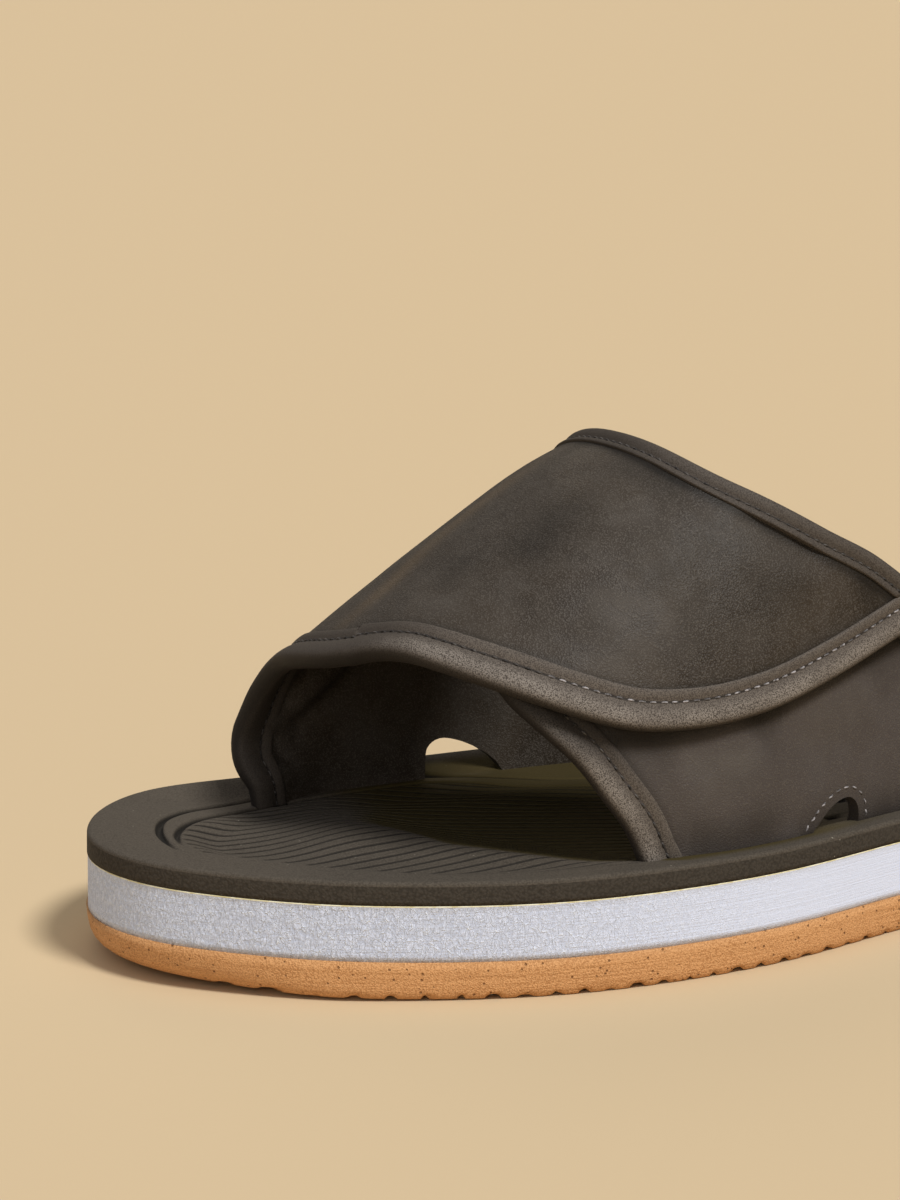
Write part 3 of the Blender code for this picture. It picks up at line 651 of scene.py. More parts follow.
gumFoam, whiteFoam, paleGlue = makeGumFoam(), makeWhiteFoam(), makeGlue()
greyFoam, greyFoamCut = makeGreyFoam("greyFoam", False), makeGreyFoam("greyFoamCut", True)
leather, greyAndLitSideLeather = makeLeather("waxedNubuck", 0.0), makeLeather("waxedNubuckGreyAndLitSide", 0.5)
lining = makeLining()
frontTape, backTape = makeTape("frontTape", 1.0), makeTape("backTape", 0.20)
paleThread = makeThread("paleThread", (0.07, 0.065, 0.065), (0.36, 0.34, 0.35))
darkThread = makeThread("darkThread", (0.010, 0.008, 0.007), (0.070, 0.062, 0.056))
print("materials made")


# Layers of the sole: each row of the mesh is a closed section, across the top, down the outer wall,
# back under and up the inner wall
def soleRows(spacing):
    line = sides[1][0]
    step = np.interp(yToAlong(line[:, 1]), *zip(*spacing))
    count = np.r_[0, np.cumsum(np.linalg.norm(np.diff(line, axis=0), axis=1) / step[1:])]
    return np.interp(np.linspace(0, count[-1], int(count[-1]) + 1), count, line[:, 1])


def soleLayer(name, rows, levels, topColumns, underColumns, bands=(), topRelief=None, underRelief=None):
    # Levels run from the top edge down: (inset at each row, height)
    rings = []
    for inset, height in levels:
        ring = {}
        for side in (1, -1):
            points, inward = edgePoints(side, rows)
            flat = points + inward * np.broadcast_to(inset, len(rows))[:, None]
            ring[side] = np.column_stack([flat, height + toeLift(flat[:, 1])])
        rings.append(ring)

    def across(ring, first, last, columns):
        t = np.linspace(0, 1, columns + 1)[:, None, None]
        return ring[first][None] * (1 - t) + ring[last][None] * t

    top = across(rings[0], -1, 1, topColumns)
    under = across(rings[-1], 1, -1, underColumns)
    marks = {}
    if topRelief:
        lift, marks = topRelief(top[..., :2].reshape(-1, 2))
        top[..., 2] += lift.reshape(top.shape[:2])
    outer = np.array([ring[1] for ring in rings[1:]])
    inner = np.array([ring[-1] for ring in rings[:-1]])[::-1]
    places = np.concatenate([top, outer, under[1:], inner])
    if underRelief:
        places = underRelief(places)
    places[-1] = places[0]
    piece, column, row = wrappedGrid(name, places, bands)
    for label, values in marks.items():
        laid = np.zeros(places.shape[:2])
        laid[: len(top)] = values.reshape(top.shape[:2])
        addValues(piece, label, laid[column, row])
    closeUp(piece)
    return piece


outsoleShape = {
    "edgeRound": 1.2 * mm,
    "toeRoll": 4.5 * mm,
    "toeRollRun": 0.12,
    "groovePitch": 5.7 * mm,
    "grooveWidth": 2.6 * mm,
    "grooveDepth": 1.15 * mm,
    "wave": 5.0 * mm,
    "margin": 0.045,
    "columns": 72,
    "spacing": ((0, 0.9 * mm), (1, 0.9 * mm)),
    # height share, share of the round edge, share of the toe's roll
    "side": ((1.0, 0.0, 0.0), (0.75, 0.0, 0.04), (0.5, 0.0, 0.12), (0.36, 0.02, 0.22), (0.24, 0.08, 0.38),
             (0.14, 0.22, 0.56), (0.07, 0.45, 0.74), (0.025, 0.72, 0.89), (0.0, 1.0, 1.0)),
}


def treadDepth(x, y):
    shape = outsoleShape
    first, last = alongToY(shape["margin"]), alongToY(1 - shape["margin"])
    wave = shape["wave"] * (np.abs((x / (0.3 * ballWidth) + 0.5) % 2 - 1) - 0.5)
    middle = (first + last) / 2
    turn = (y - wave - middle) / shape["groovePitch"]
    number = np.rint(turn)
    draws = np.random.default_rng(3).uniform(0.25, 1.1, (2, 200))
    index = (number + 100).astype(int)
    half = shape["grooveWidth"] / 2 * draws[1][index] / shape["groovePitch"]
    flank = smooth((np.abs(turn - number) - half * 0.55) / (half * 0.75))
    return shape["grooveDepth"] * draws[0][index] * (1 - flank) * (y > first) * (y < last)


def outsoleUnder(places):
    points = places.reshape(-1, 3)
    height = (points[:, 2] - toeLift(points[:, 1])) / sole["outsoleTop"]
    points[:, 2] += treadDepth(points[:, 0], points[:, 1]) * smooth((0.16 - height) / 0.1)
    return points.reshape(places.shape)


def buildOutsole():
    shape = outsoleShape
    rows = soleRows(shape["spacing"])
    share = yToAlong(rows)
    roll = shape["toeRoll"] * smooth((shape["toeRollRun"] - share) / shape["toeRollRun"])
    levels = [
        (shape["edgeRound"] * edge + roll * toe, sole["outsoleTop"] * height)
        for height, edge, toe in shape["side"]
    ]
    piece = soleLayer("outsoleFoam", rows, levels, 4, shape["columns"], underRelief=outsoleUnder)
    return dress(piece, [gumFoam], "outsole")


midsoleShape = {
    "spacing": ((0, 0.9 * mm), (0.5, 1.2 * mm), (1, 1.2 * mm)),
    "setBack": 0.12 * mm,  # under the glue line
    "wave": (0.07 * mm, 900, 370),
    "columns": 4,
}


def leanIn(z):
    return sole["flare"] * z / sole["rim"]


def buildMidsole():
    low, high, glue = sole["outsoleTop"], sole["midsoleTop"], sole["glueLine"]
    heights = [high, high - glue] + list(np.linspace(high - glue, low, 9)[1:])
    rows = soleRows(midsoleShape["spacing"])
    swing, quick, slow = midsoleShape["wave"]
    wave = swing * np.sin(rows * quick) * np.sin(rows * slow)
    levels = []
    for z in heights:
        inset = midsoleShape["setBack"] * (z < high - glue / 2) + wave * (low < z < high - glue)
        levels.append((leanIn(z) + inset, z))
    columns, walls = midsoleShape["columns"], len(levels) - 1
    last = 2 * (columns + walls)
    bands = ((columns, columns + 1, 1), (last - 1, last, 1))
    piece = soleLayer("midsoleFoam", rows, levels, columns, columns, bands)
    return dress(piece, [whiteFoam, paleGlue], "midsole")


footbedShape = {
    "lipRound": 0.9 * mm,
    "rimToe": 15.0 * mm,
    "rimFront": 6.5 * mm,
    "rimMedial": 10.0 * mm,
    "rimLateral": 5.8 * mm,
    "rimHeel": 9.0 * mm,
    "medialFade": (0.03, 0.33),
    "lateralFade": (0.06, 0.21),
    "heelFade": (0.78, 0.98),
    "basinDepth": 1.8 * mm,
    "basinSlope": 9.0 * mm,
    "slantFrom": 100.0 * mm,
    "wellDepth": 0.7 * mm,
    "deepest": 4.3 * mm,
    "wellPlace": (0.122, 0.065),
    "crest": (
        (-40, 61), (-28, 58), (-17, 56.3), (-9, 56.3), (1, 60.4), (8, 63.2), (15, 65.2), (21, 69.5),
        (27, 73.8), (32.5, 78), (38.5, 82.4), (43, 87.5), (46, 92.5),
    ),
    "crestHeights": ((-38, 0.5), (-22, 0.8), (-8, 1.2), (2, 1.45), (15, 1.45), (30, 1.35), (45, 1.2)),
    "crestRuns": (7.5 * mm, 6.0 * mm),  # before and behind the crest
    "crestRound": (5.0 * mm, 0.8 * mm),  # at its inner and its outer end
    "shadeSoft": (16.0 * mm, 1.6 * mm),
    "shadeFade": (0.45, 0.57),
    "mound": (1.0 * mm, 49 * mm, 12 * mm, 11 * mm, 1.45 * mm),  # across, from toe, reaches, height
    "columns": 300,
    "spacing": (
        (0, 0.62 * mm), (0.2, 0.62 * mm), (0.36, 0.66 * mm), (0.42, 1.3 * mm), (0.55, 3.4 * mm),
        (1, 3.4 * mm),
    ),
}

# On the inner side the footbed slopes down from its edge. "start" to "end" is measured from the toe
medialSlope = {
    "depth": 3.2 * mm,
    "edge": 1.5 * mm,
    "run": 8.0 * mm,
    "start": 18 * mm,
    "rise": 28 * mm,
    "end": 190 * mm,
    "fall": 60 * mm,
    "reach": -6 * mm,
    "fade": 26 * mm,
}

# The two grooves round the toe, which run down the inner side and then slant outwards: millimetres
# from the middle, then from the toe
outerGroove = (
    (3, 15), (-1, 14.2), (-7, 13.9), (-14, 15), (-20, 17), (-25.5, 20), (-31, 25), (-36.5, 31),
    (-41, 37.5), (-44, 44), (-45.5, 52), (-47, 63), (-47.5, 76), (-46.5, 88), (-43, 97), (-36.5, 106.5),
    (-29, 116), (-22, 126), (-10, 138), (6, 149), (22, 158), (34, 165),
)
innerGroove = (
    (0, 16.8), (-5.5, 16.2), (-10.5, 17.2), (-14.5, 18.7), (-19, 21.6), (-24, 26), (-30, 32),
    (-34.5, 38), (-37.5, 45), (-39.5, 53), (-41, 62), (-42, 73), (-42, 84), (-40, 92), (-35, 99),
    (-27, 105.5), (-20, 112), (-13, 119), (0, 129), (16, 139), (32, 148),
)
grooveCut = {"depth": 1.3 * mm, "halfWidth": 0.75 * mm, "fadeIn": 20 * mm}
ribs = {
    "pitch": 3.55 * mm,
    "depth": 0.55 * mm,
    "halfWidth": 0.13,
    "crown": 0.10 * mm,
    "turnSoftness": 3 * mm,
    "slant": 0.6,
    "spread": 0.2,
    "from": -35 * mm,
    "edge": 1.2 * mm,
    "fade": (0.41, 0.52),
}


def lineOnSole(rows, perSpan):
    return openCurve([(x * mm, alongToY(0) + along * mm) for x, along in rows], perSpan)


def crestLift(x, y):
    # A ridge under the toes' roots with a mound before it: it rises softly and drops faster behind
    shape = footbedShape
    gap, sign = lineDistance(np.column_stack([x, y]), lineOnSole(shape["crest"], 8))[:2]
    run = np.where(sign < 0, *shape["crestRuns"])
    blunt = between(shape["crestRound"], smooth(x / (20 * mm) + 0.9))
    height = np.interp(x / mm, *zip(*shape["crestHeights"])) * mm
    ridge = height * np.exp(-(((np.hypot(gap, blunt) - blunt) / run) ** 1.3))
    across, along, wide, long, high = shape["mound"]
    mound = high * bell(np.hypot((x - across) / wide, (y - alongToY(0) - along) / long), 1)
    return ridge + mound, gap * sign


def lateralRim(y):
    shape = footbedShape
    return shape["rimLateral"] + shape["rimFront"] * (1 - faded(yToAlong(y), shape["lateralFade"]))


def footbedDish(x, y, inward, fromInner, place):
    # The smooth form of the footbed's top: a dish inside the rim, whose inner side slopes down to the
    # strap. Also gives the mask of painted shadow under the strap
    shape = footbedShape
    share = yToAlong(y)
    fromToe = y - alongToY(0)
    middle = (edgeX(1, y) + edgeX(-1, y)) / 2
    lateral = smooth((x - middle) / (8 * mm) + 0.5)
    side = between((shape["rimMedial"], shape["rimLateral"]), lateral)
    toe = 1 - between([faded(share, shape[key]) for key in ("medialFade", "lateralFade")], lateral)
    heel = faded(share, shape["heelFade"])
    rim = side + toe * (shape["rimToe"] - side) + heel * (shape["rimHeel"] - side)
    # In front, the basin starts at the inner groove, further back at the rim
    front = smooth((shape["slantFrom"] - place) / (20 * mm))
    depthIn = between((inward - rim, np.minimum(inward - lateralRim(y), fromInner)), front)
    basin = smooth(depthIn / shape["basinSlope"])
    well = bell(share - shape["wellPlace"][0], shape["wellPlace"][1]) * smooth((inward - rim) / (12 * mm))
    down = shape["basinDepth"] * basin + shape["wellDepth"] * well * basin
    slope = medialSlope
    ends = smooth((fromToe - slope["start"]) / slope["rise"])
    ends *= smooth((slope["end"] - fromToe) / slope["fall"])
    beside = smooth((inward - slope["edge"]) / slope["run"])
    beside *= smooth((slope["reach"] - x) / slope["fade"])
    down = (down**4 + (slope["depth"] * ends * beside) ** 4) ** 0.25
    crest, behind = crestLift(x, y)
    # Painted shadow: behind the crest, under the strap, the footbed's colour is darkened by this mask
    shade = smooth(behind / between(shape["shadeSoft"], smooth((x + 28 * mm) / (28 * mm))))
    shade *= (1 - faded(share, shape["shadeFade"])) * smooth((inward - 2.5 * mm) / (3 * mm))
    return crest * basin - down, shade


def footbedRelief(flat):
    shape = footbedShape
    x, y = flat[:, 0], flat[:, 1]
    inward = nearestDistance(flat, outlinePoints)
    inner, outer = (lineDistance(flat, lineOnSole(rows, 10)) for rows in (innerGroove, outerGroove))
    fromInner = -inner[0] * inner[1]
    lift, shade = footbedDish(x, y, inward, fromInner, inner[2])
    fromLateral = edgeX(1, y) - x - shape["rimLateral"]
    grooveShade = np.zeros(len(flat))
    for gap, sign, place in (outer, inner):
        deep = smooth(place / grooveCut["fadeIn"]) * smooth(fromLateral / (5 * mm))
        mark = np.exp(-((gap / (grooveCut["halfWidth"] * (0.5 + 0.5 * deep))) ** 4)) * deep
        lift -= grooveCut["depth"] * mark
        # the groove mask also carries painted shade into the footbed's colour
        grooveShade = np.maximum(grooveShade, mark)
    drift = y - alongToY(0) - np.interp(x / mm, *zip(*shape["crest"])) * mm
    bent = ribs["slant"] * (np.hypot(drift, ribs["turnSoftness"]) + drift) / 2
    spread = 1 - ribs["spread"] * smooth(drift / (16 * mm))
    turns = ((x - ribs["from"]) * spread - bent) / ribs["pitch"]
    phase = turns - np.rint(turns)
    inside = smooth((fromInner - 0.7 * mm) / ribs["edge"])
    inside *= smooth((inward - lateralRim(y) - 0.8 * mm) / ribs["edge"])
    inside *= 1 - faded(yToAlong(y), ribs["fade"])
    inside = np.where(inner[1] < 0, inside, 0)
    line = bell(phase, ribs["halfWidth"]) * inside
    lift += ribs["crown"] * np.cos(phase * 2 * math.pi) * inside - ribs["depth"] * line
    marks = {"grooveShade": grooveShade, "ribTurns": turns, "ribShare": inside, "shade": shade}
    return np.maximum(lift, -shape["deepest"]), marks


def buildFootbed():
    shape = footbedShape
    low, rim, lip = sole["midsoleTop"], sole["rim"], shape["lipRound"]
    rows = soleRows(shape["spacing"])
    levels = [
        (sole["flare"] + lip * (1 - math.sin(turn)), rim - lip * (1 - math.cos(turn)))
        for turn in np.radians((0, 25, 50, 70, 90))
    ]
    levels += [(leanIn(z), z) for z in np.linspace(rim - lip, low, 5)[1:]]
    walls = len(levels) - 1
    bands = ((shape["columns"] + 4, shape["columns"] + 2 * walls, 1),)
    piece = soleLayer("footbedFoam", rows, levels, shape["columns"], 4, bands, footbedRelief)
    return dress(piece, [greyFoam, greyFoamCut], "footbed")


for build in (buildOutsole, buildMidsole, buildFootbed):
    piece = build()
    print(piece.name, len(piece.data.polygons), "faces")


# Strap: a surface arched over the foot. Angle 0 is its outer foot, 90 the crown and 180 the inner foot
strap = {
    "wall": 2.8 * mm,
    "tapeThickness": 4.6 * mm,
    "frontTape": 8.3 * mm,
    "backTape": 5.2 * mm,
    "lateralInset": 6.5 * mm,
    "medialInset": 6.0 * mm,
    "frontRise": 35.6 * mm,
    "frontRiseAt": 0.181,
    "backRise": 73.2 * mm,
    "backRiseAt": 0.374,
    "riseBelly": 1.2 * mm,
    "backRoll": 2.6 * mm,
    "backRollFade": (0.330, 0.430),
    "crownShift": 3.5 * mm,
    "archPower": 0.87,
    "frontTuck": 6.0 * mm,
    "tuckHeight": 12.0 * mm,
    "tuckFrom": 0.166,
    "tuckRun": 0.075,
    "perDegreeBelow": 1.1 * mm,
    "flapTurn": 27,
    "layer": 2.45 * mm,
    "seat": 0.3 * mm,
}

# Edges of the strap: angle over the arch, then the share of the sole's length from the toe
closingEdge = (
    (180, 0.162), (168, 0.155), (150, 0.163), (130, 0.169), (110, 0.166), (96, 0.170), (84, 0.184),
    (72, 0.196), (60, 0.208), (49, 0.224), (38, 0.248), (28.5, 0.279), (21.5, 0.316), (18, 0.362),
    (17, 0.420), (17.5, 0.480), (18.5, 0.540), (20, 0.620),
)
overBackEdge = (
    (180, 0.545), (165, 0.502), (148, 0.458), (128, 0.418), (108, 0.398), (90, 0.396), (75, 0.404),
    (62, 0.421), (50, 0.450), (39, 0.488), (30, 0.532), (22, 0.570), (14, 0.596),
)
underFrontEdge = (
    (0, 0.321), (4, 0.312), (10, 0.296), (18, 0.279), (27, 0.260), (38, 0.243), (50, 0.234), (65, 0.226),
    (80, 0.218), (94, 0.210),
)
underBackEdge = (
    (0, 0.640), (8, 0.618), (16, 0.585), (25, 0.543), (35, 0.492), (47, 0.440), (60, 0.406), (76, 0.388),
    (94, 0.380),
)
degreesPerLength = 240.0  # degrees that count as one length of the sole where an edge is cut into steps


def archRise(y):
    front, back = alongToY(strap["frontRiseAt"]), alongToY(strap["backRiseAt"])
    share = (y - front) / (back - front)
    rise = between((strap["frontRise"], strap["backRise"]), share)
    belly = np.where(share < 1, 4 * share * (1 - share), -4 * (share - 1))
    roll = strap["backRoll"] * faded(yToAlong(y), strap["backRollFade"])
    return rise + strap["riseBelly"] * belly - roll


def archPoint(angle, y):
    angle, y = np.broadcast_arrays(np.asarray(angle, float), np.asarray(y, float))
    turn = np.radians(np.clip(angle, 0, 180))
    lateralFoot = edgeX(1, y) - sole["flare"] - strap["lateralInset"] - strap["wall"] / 2 + strap["layer"]
    medialFoot = edgeX(-1, y) + sole["flare"] + strap["medialInset"] + strap["wall"] / 2 + strap["layer"]
    crown, power = strap["crownShift"], strap["archPower"]
    reach = np.where(turn < math.pi / 2, lateralFoot - crown, crown - medialFoot)
    lift = np.abs(np.sin(turn)) ** power * (angle > 0) * (angle < 180) * archRise(y)
    below = np.clip(-angle, 0, None) + np.clip(angle - 180, 0, None)
    x = crown + reach * np.sign(np.cos(turn)) * np.abs(np.cos(turn)) ** power
    tucked = (alongToY(strap["tuckFrom"] + strap["tuckRun"]) - y) / (strap["tuckRun"] * soleLength)
    tuck = strap["frontTuck"] * smooth(tucked) * (1 - smooth(lift / strap["tuckHeight"]))
    x = x + np.where(angle > 90, tuck, 0)
    z = sole["rim"] + strap["seat"] + toeLift(y) + lift - below * strap["perDegreeBelow"]
    return np.stack([x, y, z], -1)


def archFrame(line):
    # Points on the surface, their normals, and how far a degree and a metre along the foot move them
    angle, y = line[:, 0], line[:, 1]
    stepAngle, stepY = 0.4, 0.4 * mm
    byAngle = (archPoint(angle + stepAngle, y) - archPoint(angle - stepAngle, y)) / (2 * stepAngle)
    byY = (archPoint(angle, y + stepY) - archPoint(angle, y - stepY)) / (2 * stepY)
    return archPoint(angle, y), unit(np.cross(byY, byAngle)), byAngle, byY


def resampled(line, count):
    length = runLength(surfacePoints(line, 0))
    wanted = np.linspace(0, length[-1], count + 1)
    return readAt(wanted, length, line)


def surfacePoints(line, height):
    point, normal = archFrame(line)[:2]
    return point + normal * np.broadcast_to(height, len(line))[:, None]


def edgeLine(rows, steps):
    dense = openCurve(rows)
    length = runLength(dense * (1.0, degreesPerLength))
    wanted = np.linspace(0, length[-1], steps + 1)
    angle, share = readAt(wanted, length, dense).T
    return np.column_stack([angle, alongToY(share)])


def movedIn(line, distance, side):
    point, normal, byAngle, byY = archFrame(line)
    run = unit(np.gradient(point, axis=0))
    inward = np.cross(normal, run) * side * distance
    slopes = np.stack([byAngle, byY], 2)
    return line + np.einsum("kij,kj->ki", np.linalg.pinv(slopes), inward)


def trimmed(line, angle):
    rising = line[-1, 0] > line[0, 0]
    kept = line[line[:, 0] > angle] if rising else line[line[:, 0] < angle]
    (a, ya), (b, yb) = kept[:2]
    return np.vstack([(angle, ya + (angle - a) * (yb - ya) / (b - a)), kept])


def crossing(first, second):
    for i in range(len(first) - 1):
        for j in range(len(second) - 1):
            run, other = first[i + 1] - first[i], second[j + 1] - second[j]
            size = run[1] * other[0] - run[0] * other[1]
            if abs(size) < 1e-15:
                continue
            gap = second[j] - first[i]
            s = (gap[1] * other[0] - gap[0] * other[1]) / size
            t = (run[0] * gap[1] - run[1] * gap[0]) / size
            if 0 <= s <= 1 and 0 <= t <= 1:
                return first[i] + s * run, i
    raise ValueError("the edges don't cross")


def ended(line, stop):
    point, index = crossing(line, stop)
    return np.vstack([line[: index + 1], point])


def patchPlaces(front, end, back, foot):
    # A grid of places stretched between four edge lines
    u = np.linspace(0, 1, len(front))[:, None, None]
    v = np.linspace(0, 1, len(foot))[None, :, None]
    edges = front[:, None] * (1 - v) + back[:, None] * v + foot[None] * (1 - u) + end[None] * u
    near, far = (front[k] * (1 - v) + back[k] * v for k in (0, -1))
    return edges - near * (1 - u) - far * u


# Cut-outs at the foot of the strap, from front to back: millimetres behind the middle of the sole, then
# over the rim
cutouts = {
    "lateral": (
        (-9.8, -6), (-9.8, 0), (-8.8, 1.2), (-7.0, 2.8), (-5.0, 4.3), (-3.0, 5.3), (-1.0, 5.8), (0.8, 5.6),
        (2.2, 4.6), (3.0, 3.0), (3.2, 0), (3.2, -6),
    ),
    "medial": (
        (-53.4, -6), (-53.4, -3), (-53.2, 1), (-52.8, 3.4), (-51.4, 4.9), (-49.3, 5.5), (-46.5, 5.0),
        (-43.5, 3.8), (-40.5, 2.2), (-37.5, 0), (-35.4, -2.5), (-33.5, -6),
    ),
}
sunk = 4.0  # degrees that the strap's feet run down into the foam


def cutoutArch(which, grow=0.0):
    arch = openCurve(np.array(cutouts[which]) * mm, 12)
    run = unit(np.gradient(arch, axis=0))
    return arch + np.column_stack([-run[:, 1], run[:, 0]]) * grow


def overFoot(line, foot):
    # Angle and y on the strap of points given by their y and their height over the rim
    y, height = line[:, 0], line[:, 1]
    lift = np.clip((height - strap["seat"]) / archRise(y), 0, 1)
    angle = np.degrees(np.arcsin(lift ** (1 / strap["archPower"])))
    angle = angle + np.clip(height - strap["seat"], None, 0) / strap["perDegreeBelow"]
    return np.column_stack([angle if foot == 0 else 180 - angle, y])


def heightOver(angle, y):
    return archPoint(angle, y)[..., 2] - sole["rim"] - toeLift(y)


panelShape = {"across": 150, "along": 110, "tuckedShare": 0.5}


def overPanelPlaces(closing, back):
    foot = 180 + sunk
    closingIn = trimmed(movedIn(closing, strap["frontTape"] * panelShape["tuckedShare"], 1), foot)
    backIn = trimmed(movedIn(back, strap["backTape"] * panelShape["tuckedShare"], -1), foot)
    backIn = ended(backIn, closingIn[len(closingIn) // 2 :])
    runOn = np.vstack([backIn, 2 * backIn[-1] - backIn[-2]])
    closingIn = ended(closingIn, runOn[len(backIn) // 2 :])
    turn = int(np.argmax(closingIn[:, 0] < strap["flapTurn"]))
    across, along = panelShape["across"], panelShape["along"]
    front, side = resampled(closingIn[: turn + 1], across), resampled(backIn, across)
    low = resampled(np.array([front[0], side[0]]), along)
    return patchPlaces(front, resampled(closingIn[turn:], along), side, low)


def underPanelPlaces(frontEdge, backEdge):
    frontIn = trimmed(movedIn(frontEdge, strap["frontTape"] * panelShape["tuckedShare"], -1), -sunk)
    backIn = trimmed(movedIn(backEdge, strap["backTape"] * panelShape["tuckedShare"], 1), -sunk)
    across, along = panelShape["across"], panelShape["along"]
    front, back = resampled(frontIn, across), resampled(backIn, across)
    end, low = (resampled(np.array([front[k], back[k]]), along) for k in (-1, 0))
    return patchPlaces(front, end, back, low)


def cutOut(piece, angles, ys, which, foot, lift):
    # Takes out the faces under the arch and draws the edge left onto it
    arch = cutoutArch(which)
    track = readAt(np.linspace(0, len(arch) - 1, 900), np.arange(len(arch)), arch)
    heights = heightOver(angles, ys)
    top = int(arch[:, 1].argmax())
    ahead, behind = arch[: top + 1], arch[top:][::-1]
    under = (ys > np.interp(heights, ahead[:, 1], ahead[:, 0])) & (heights < arch[:, 1].max())
    under &= ys < np.interp(heights, behind[:, 1], behind[:, 0])
    centre = np.array([under[list(face.vertices)].mean() > 0.5 for face in piece.data.polygons])
    gone, kept = np.zeros(len(under), bool), np.zeros(len(under), bool)
    for face, out in zip(piece.data.polygons, centre):
        (gone if out else kept)[list(face.vertices)] = True
    edge = np.flatnonzero(gone & kept)
    here = np.column_stack([ys[edge], heights[edge]])
    target = track[np.linalg.norm(here[:, None] - track[None], axis=2).argmin(1)]
    points = pointsOf(piece)
    points[edge] = surfacePoints(overFoot(target, foot), lift[edge])
    setPoints(piece, points)
    piece.data.polygons.foreach_set("select", centre)
    piece.data.edges.foreach_set("select", np.zeros(len(piece.data.edges), bool))
    piece.data.vertices.foreach_set("select", np.zeros(len(under), bool))
    bpy.ops.object.mode_set(mode="EDIT")
    bpy.ops.mesh.select_mode(type="FACE")
    bpy.ops.mesh.delete(type="FACE")
    bpy.ops.object.mode_set(mode="OBJECT")


# Creases: a soft trough from one place to another, each (angle, share of the length), then half width
# and depth in millimetres
creases = {
    "medial": (
        (((138, 0.268), (148, 0.245), (156, 0.214), (161, 0.192), (165, 0.176)), 2.6, 1.5),
        (((160, 0.182), (165, 0.194), (171, 0.203)), 1.6, 0.9),
        (((168, 0.186), (173, 0.196), (177, 0.212)), 1.8, -0.7),
        (((104, 0.215), (96, 0.240), (84, 0.262)), 6.0, 0.45),
        (((70, 0.300), (58, 0.345), (44, 0.395)), 8.0, -0.5),
        (((60, 0.245), (50, 0.272), (42, 0.310)), 5.0, 0.4),
        (((52, 0.420), (42, 0.452), (33, 0.492)), 4.0, 0.8),
        (((88, 0.360), (76, 0.340), (66, 0.350)), 6.0, 0.4),
    ),
    "lateral": (
        (((24, 0.318), (16, 0.345), (9, 0.385)), 5.5, 0.5),
        (((17, 0.425), (11, 0.455), (5, 0.500)), 6.0, 0.45),
    ),
}
bulge = {"medial": 0.3 * mm, "lateral": 1.5 * mm}


# Tones: a paler or darker patch along a path, with its half width in millimetres and its strength
tones = {
    # On the inner panel: the leather's rubbed and waxed mottle, and a painted shadow in the flap's back
    # corner
    "medial": (
        (((66, 0.335), (64, 0.358), (61, 0.378)), 3.0, 0.32),
        (((61, 0.298), (59, 0.320), (56, 0.343)), 3.0, 0.22),
        (((65, 0.250), (66, 0.268), (69, 0.283)), 3.0, 0.40),
        (((41, 0.310), (43, 0.335), (45, 0.355)), 7.0, 0.42),
        (((49, 0.393), (48, 0.425), (47, 0.443)), 4.0, 0.25),
        (((90, 0.233), (78, 0.235), (69, 0.240)), 3.0, 0.25),
        (((42, 0.278), (36, 0.300), (33, 0.330)), 5.0, 0.25),
        (((78, 0.350), (74, 0.310), (69, 0.270)), 5.0, -0.45),
        (((47, 0.380), (47, 0.358), (47, 0.335)), 3.0, -0.25),
        (((86, 0.278), (84, 0.248), (82, 0.225)), 4.0, -0.30),
        (((83, 0.368), (69, 0.383), (58, 0.405)), 3.5, -0.35),
        # Painted shadow in the pucker at the flap's back corner
        (((31, 0.513), (27, 0.518), (25, 0.508)), 4.0, -0.50),
        (((36, 0.408), (34, 0.440), (31, 0.473)), 5.0, -0.22),
    ),
    # On the outer panel: a painted highlight up the middle, and painted shade low down and beside the front
    # tape
    "lateral": (
        (((9, 0.350), (12, 0.385), (14, 0.423)), 8.0, 0.70),
        (((15, 0.420), (14, 0.480), (14, 0.538)), 6.0, 0.55),
        (((1, 0.340), (1, 0.403), (2, 0.448)), 5.5, -0.50),
        (((0, 0.430), (0, 0.500), (0, 0.580)), 5.0, -0.50),
        (((4, 0.322), (10, 0.306), (17, 0.288)), 4.0, -0.40),
    ),
}


# Painted warm reflection along the top of the arch
warmReflectionPath = ((100, 0.385), (100, 0.345), (102, 0.308), (102, 0.26), (101, 0.21), (105, 0.170))
warmReflectionWidth = 3.2


def alongPath(points, path):
    # Distance to a path on the strap in millimetres, and a share that fades at both its ends
    line = openCurve([(angle, alongToY(share)) for angle, share in path], 8)
    track = surfacePoints(line, 0)
    lengths = runLength(track)
    gap = np.linalg.norm(points[:, None] - track[None], axis=2)
    place = lengths[gap.argmin(1)] / lengths[-1]
    return gap.min(1) / mm, smooth(place / 0.3) * smooth((1 - place) / 0.3)


def creaseLift(points, rows):
    lift, fold = np.zeros(len(points)), np.zeros(len(points))
    for path, halfWidth, depth in rows:
        gap, taper = alongPath(points, path)
        reach = gap / halfWidth
        lift -= depth * mm * taper * (bell(reach, 1) - 0.35 * bell(reach - 1.9, 1))
        # The deeper creases also get a mask of painted shadow
        if depth > 0.6:
            fold = np.maximum(fold, taper * bell(reach * 1.4, 1))
    return lift, fold


def toneOf(points, which, edges):
    # Edges are lines that the surface passes under, with painted shadow laid along them: (angle and y of
    # the line, half width, strength)
    tone = np.zeros(len(points))
    for path, halfWidth, strength in tones[which]:
        gap, taper = alongPath(points, path)
        tone += strength * taper * bell(gap, halfWidth)
    for line, halfWidth, strength in edges:
        gap = nearestDistance(points, surfacePoints(line, 0)) / mm
        tone += strength * bell(gap, halfWidth)
    return np.clip(tone, -1, 1)


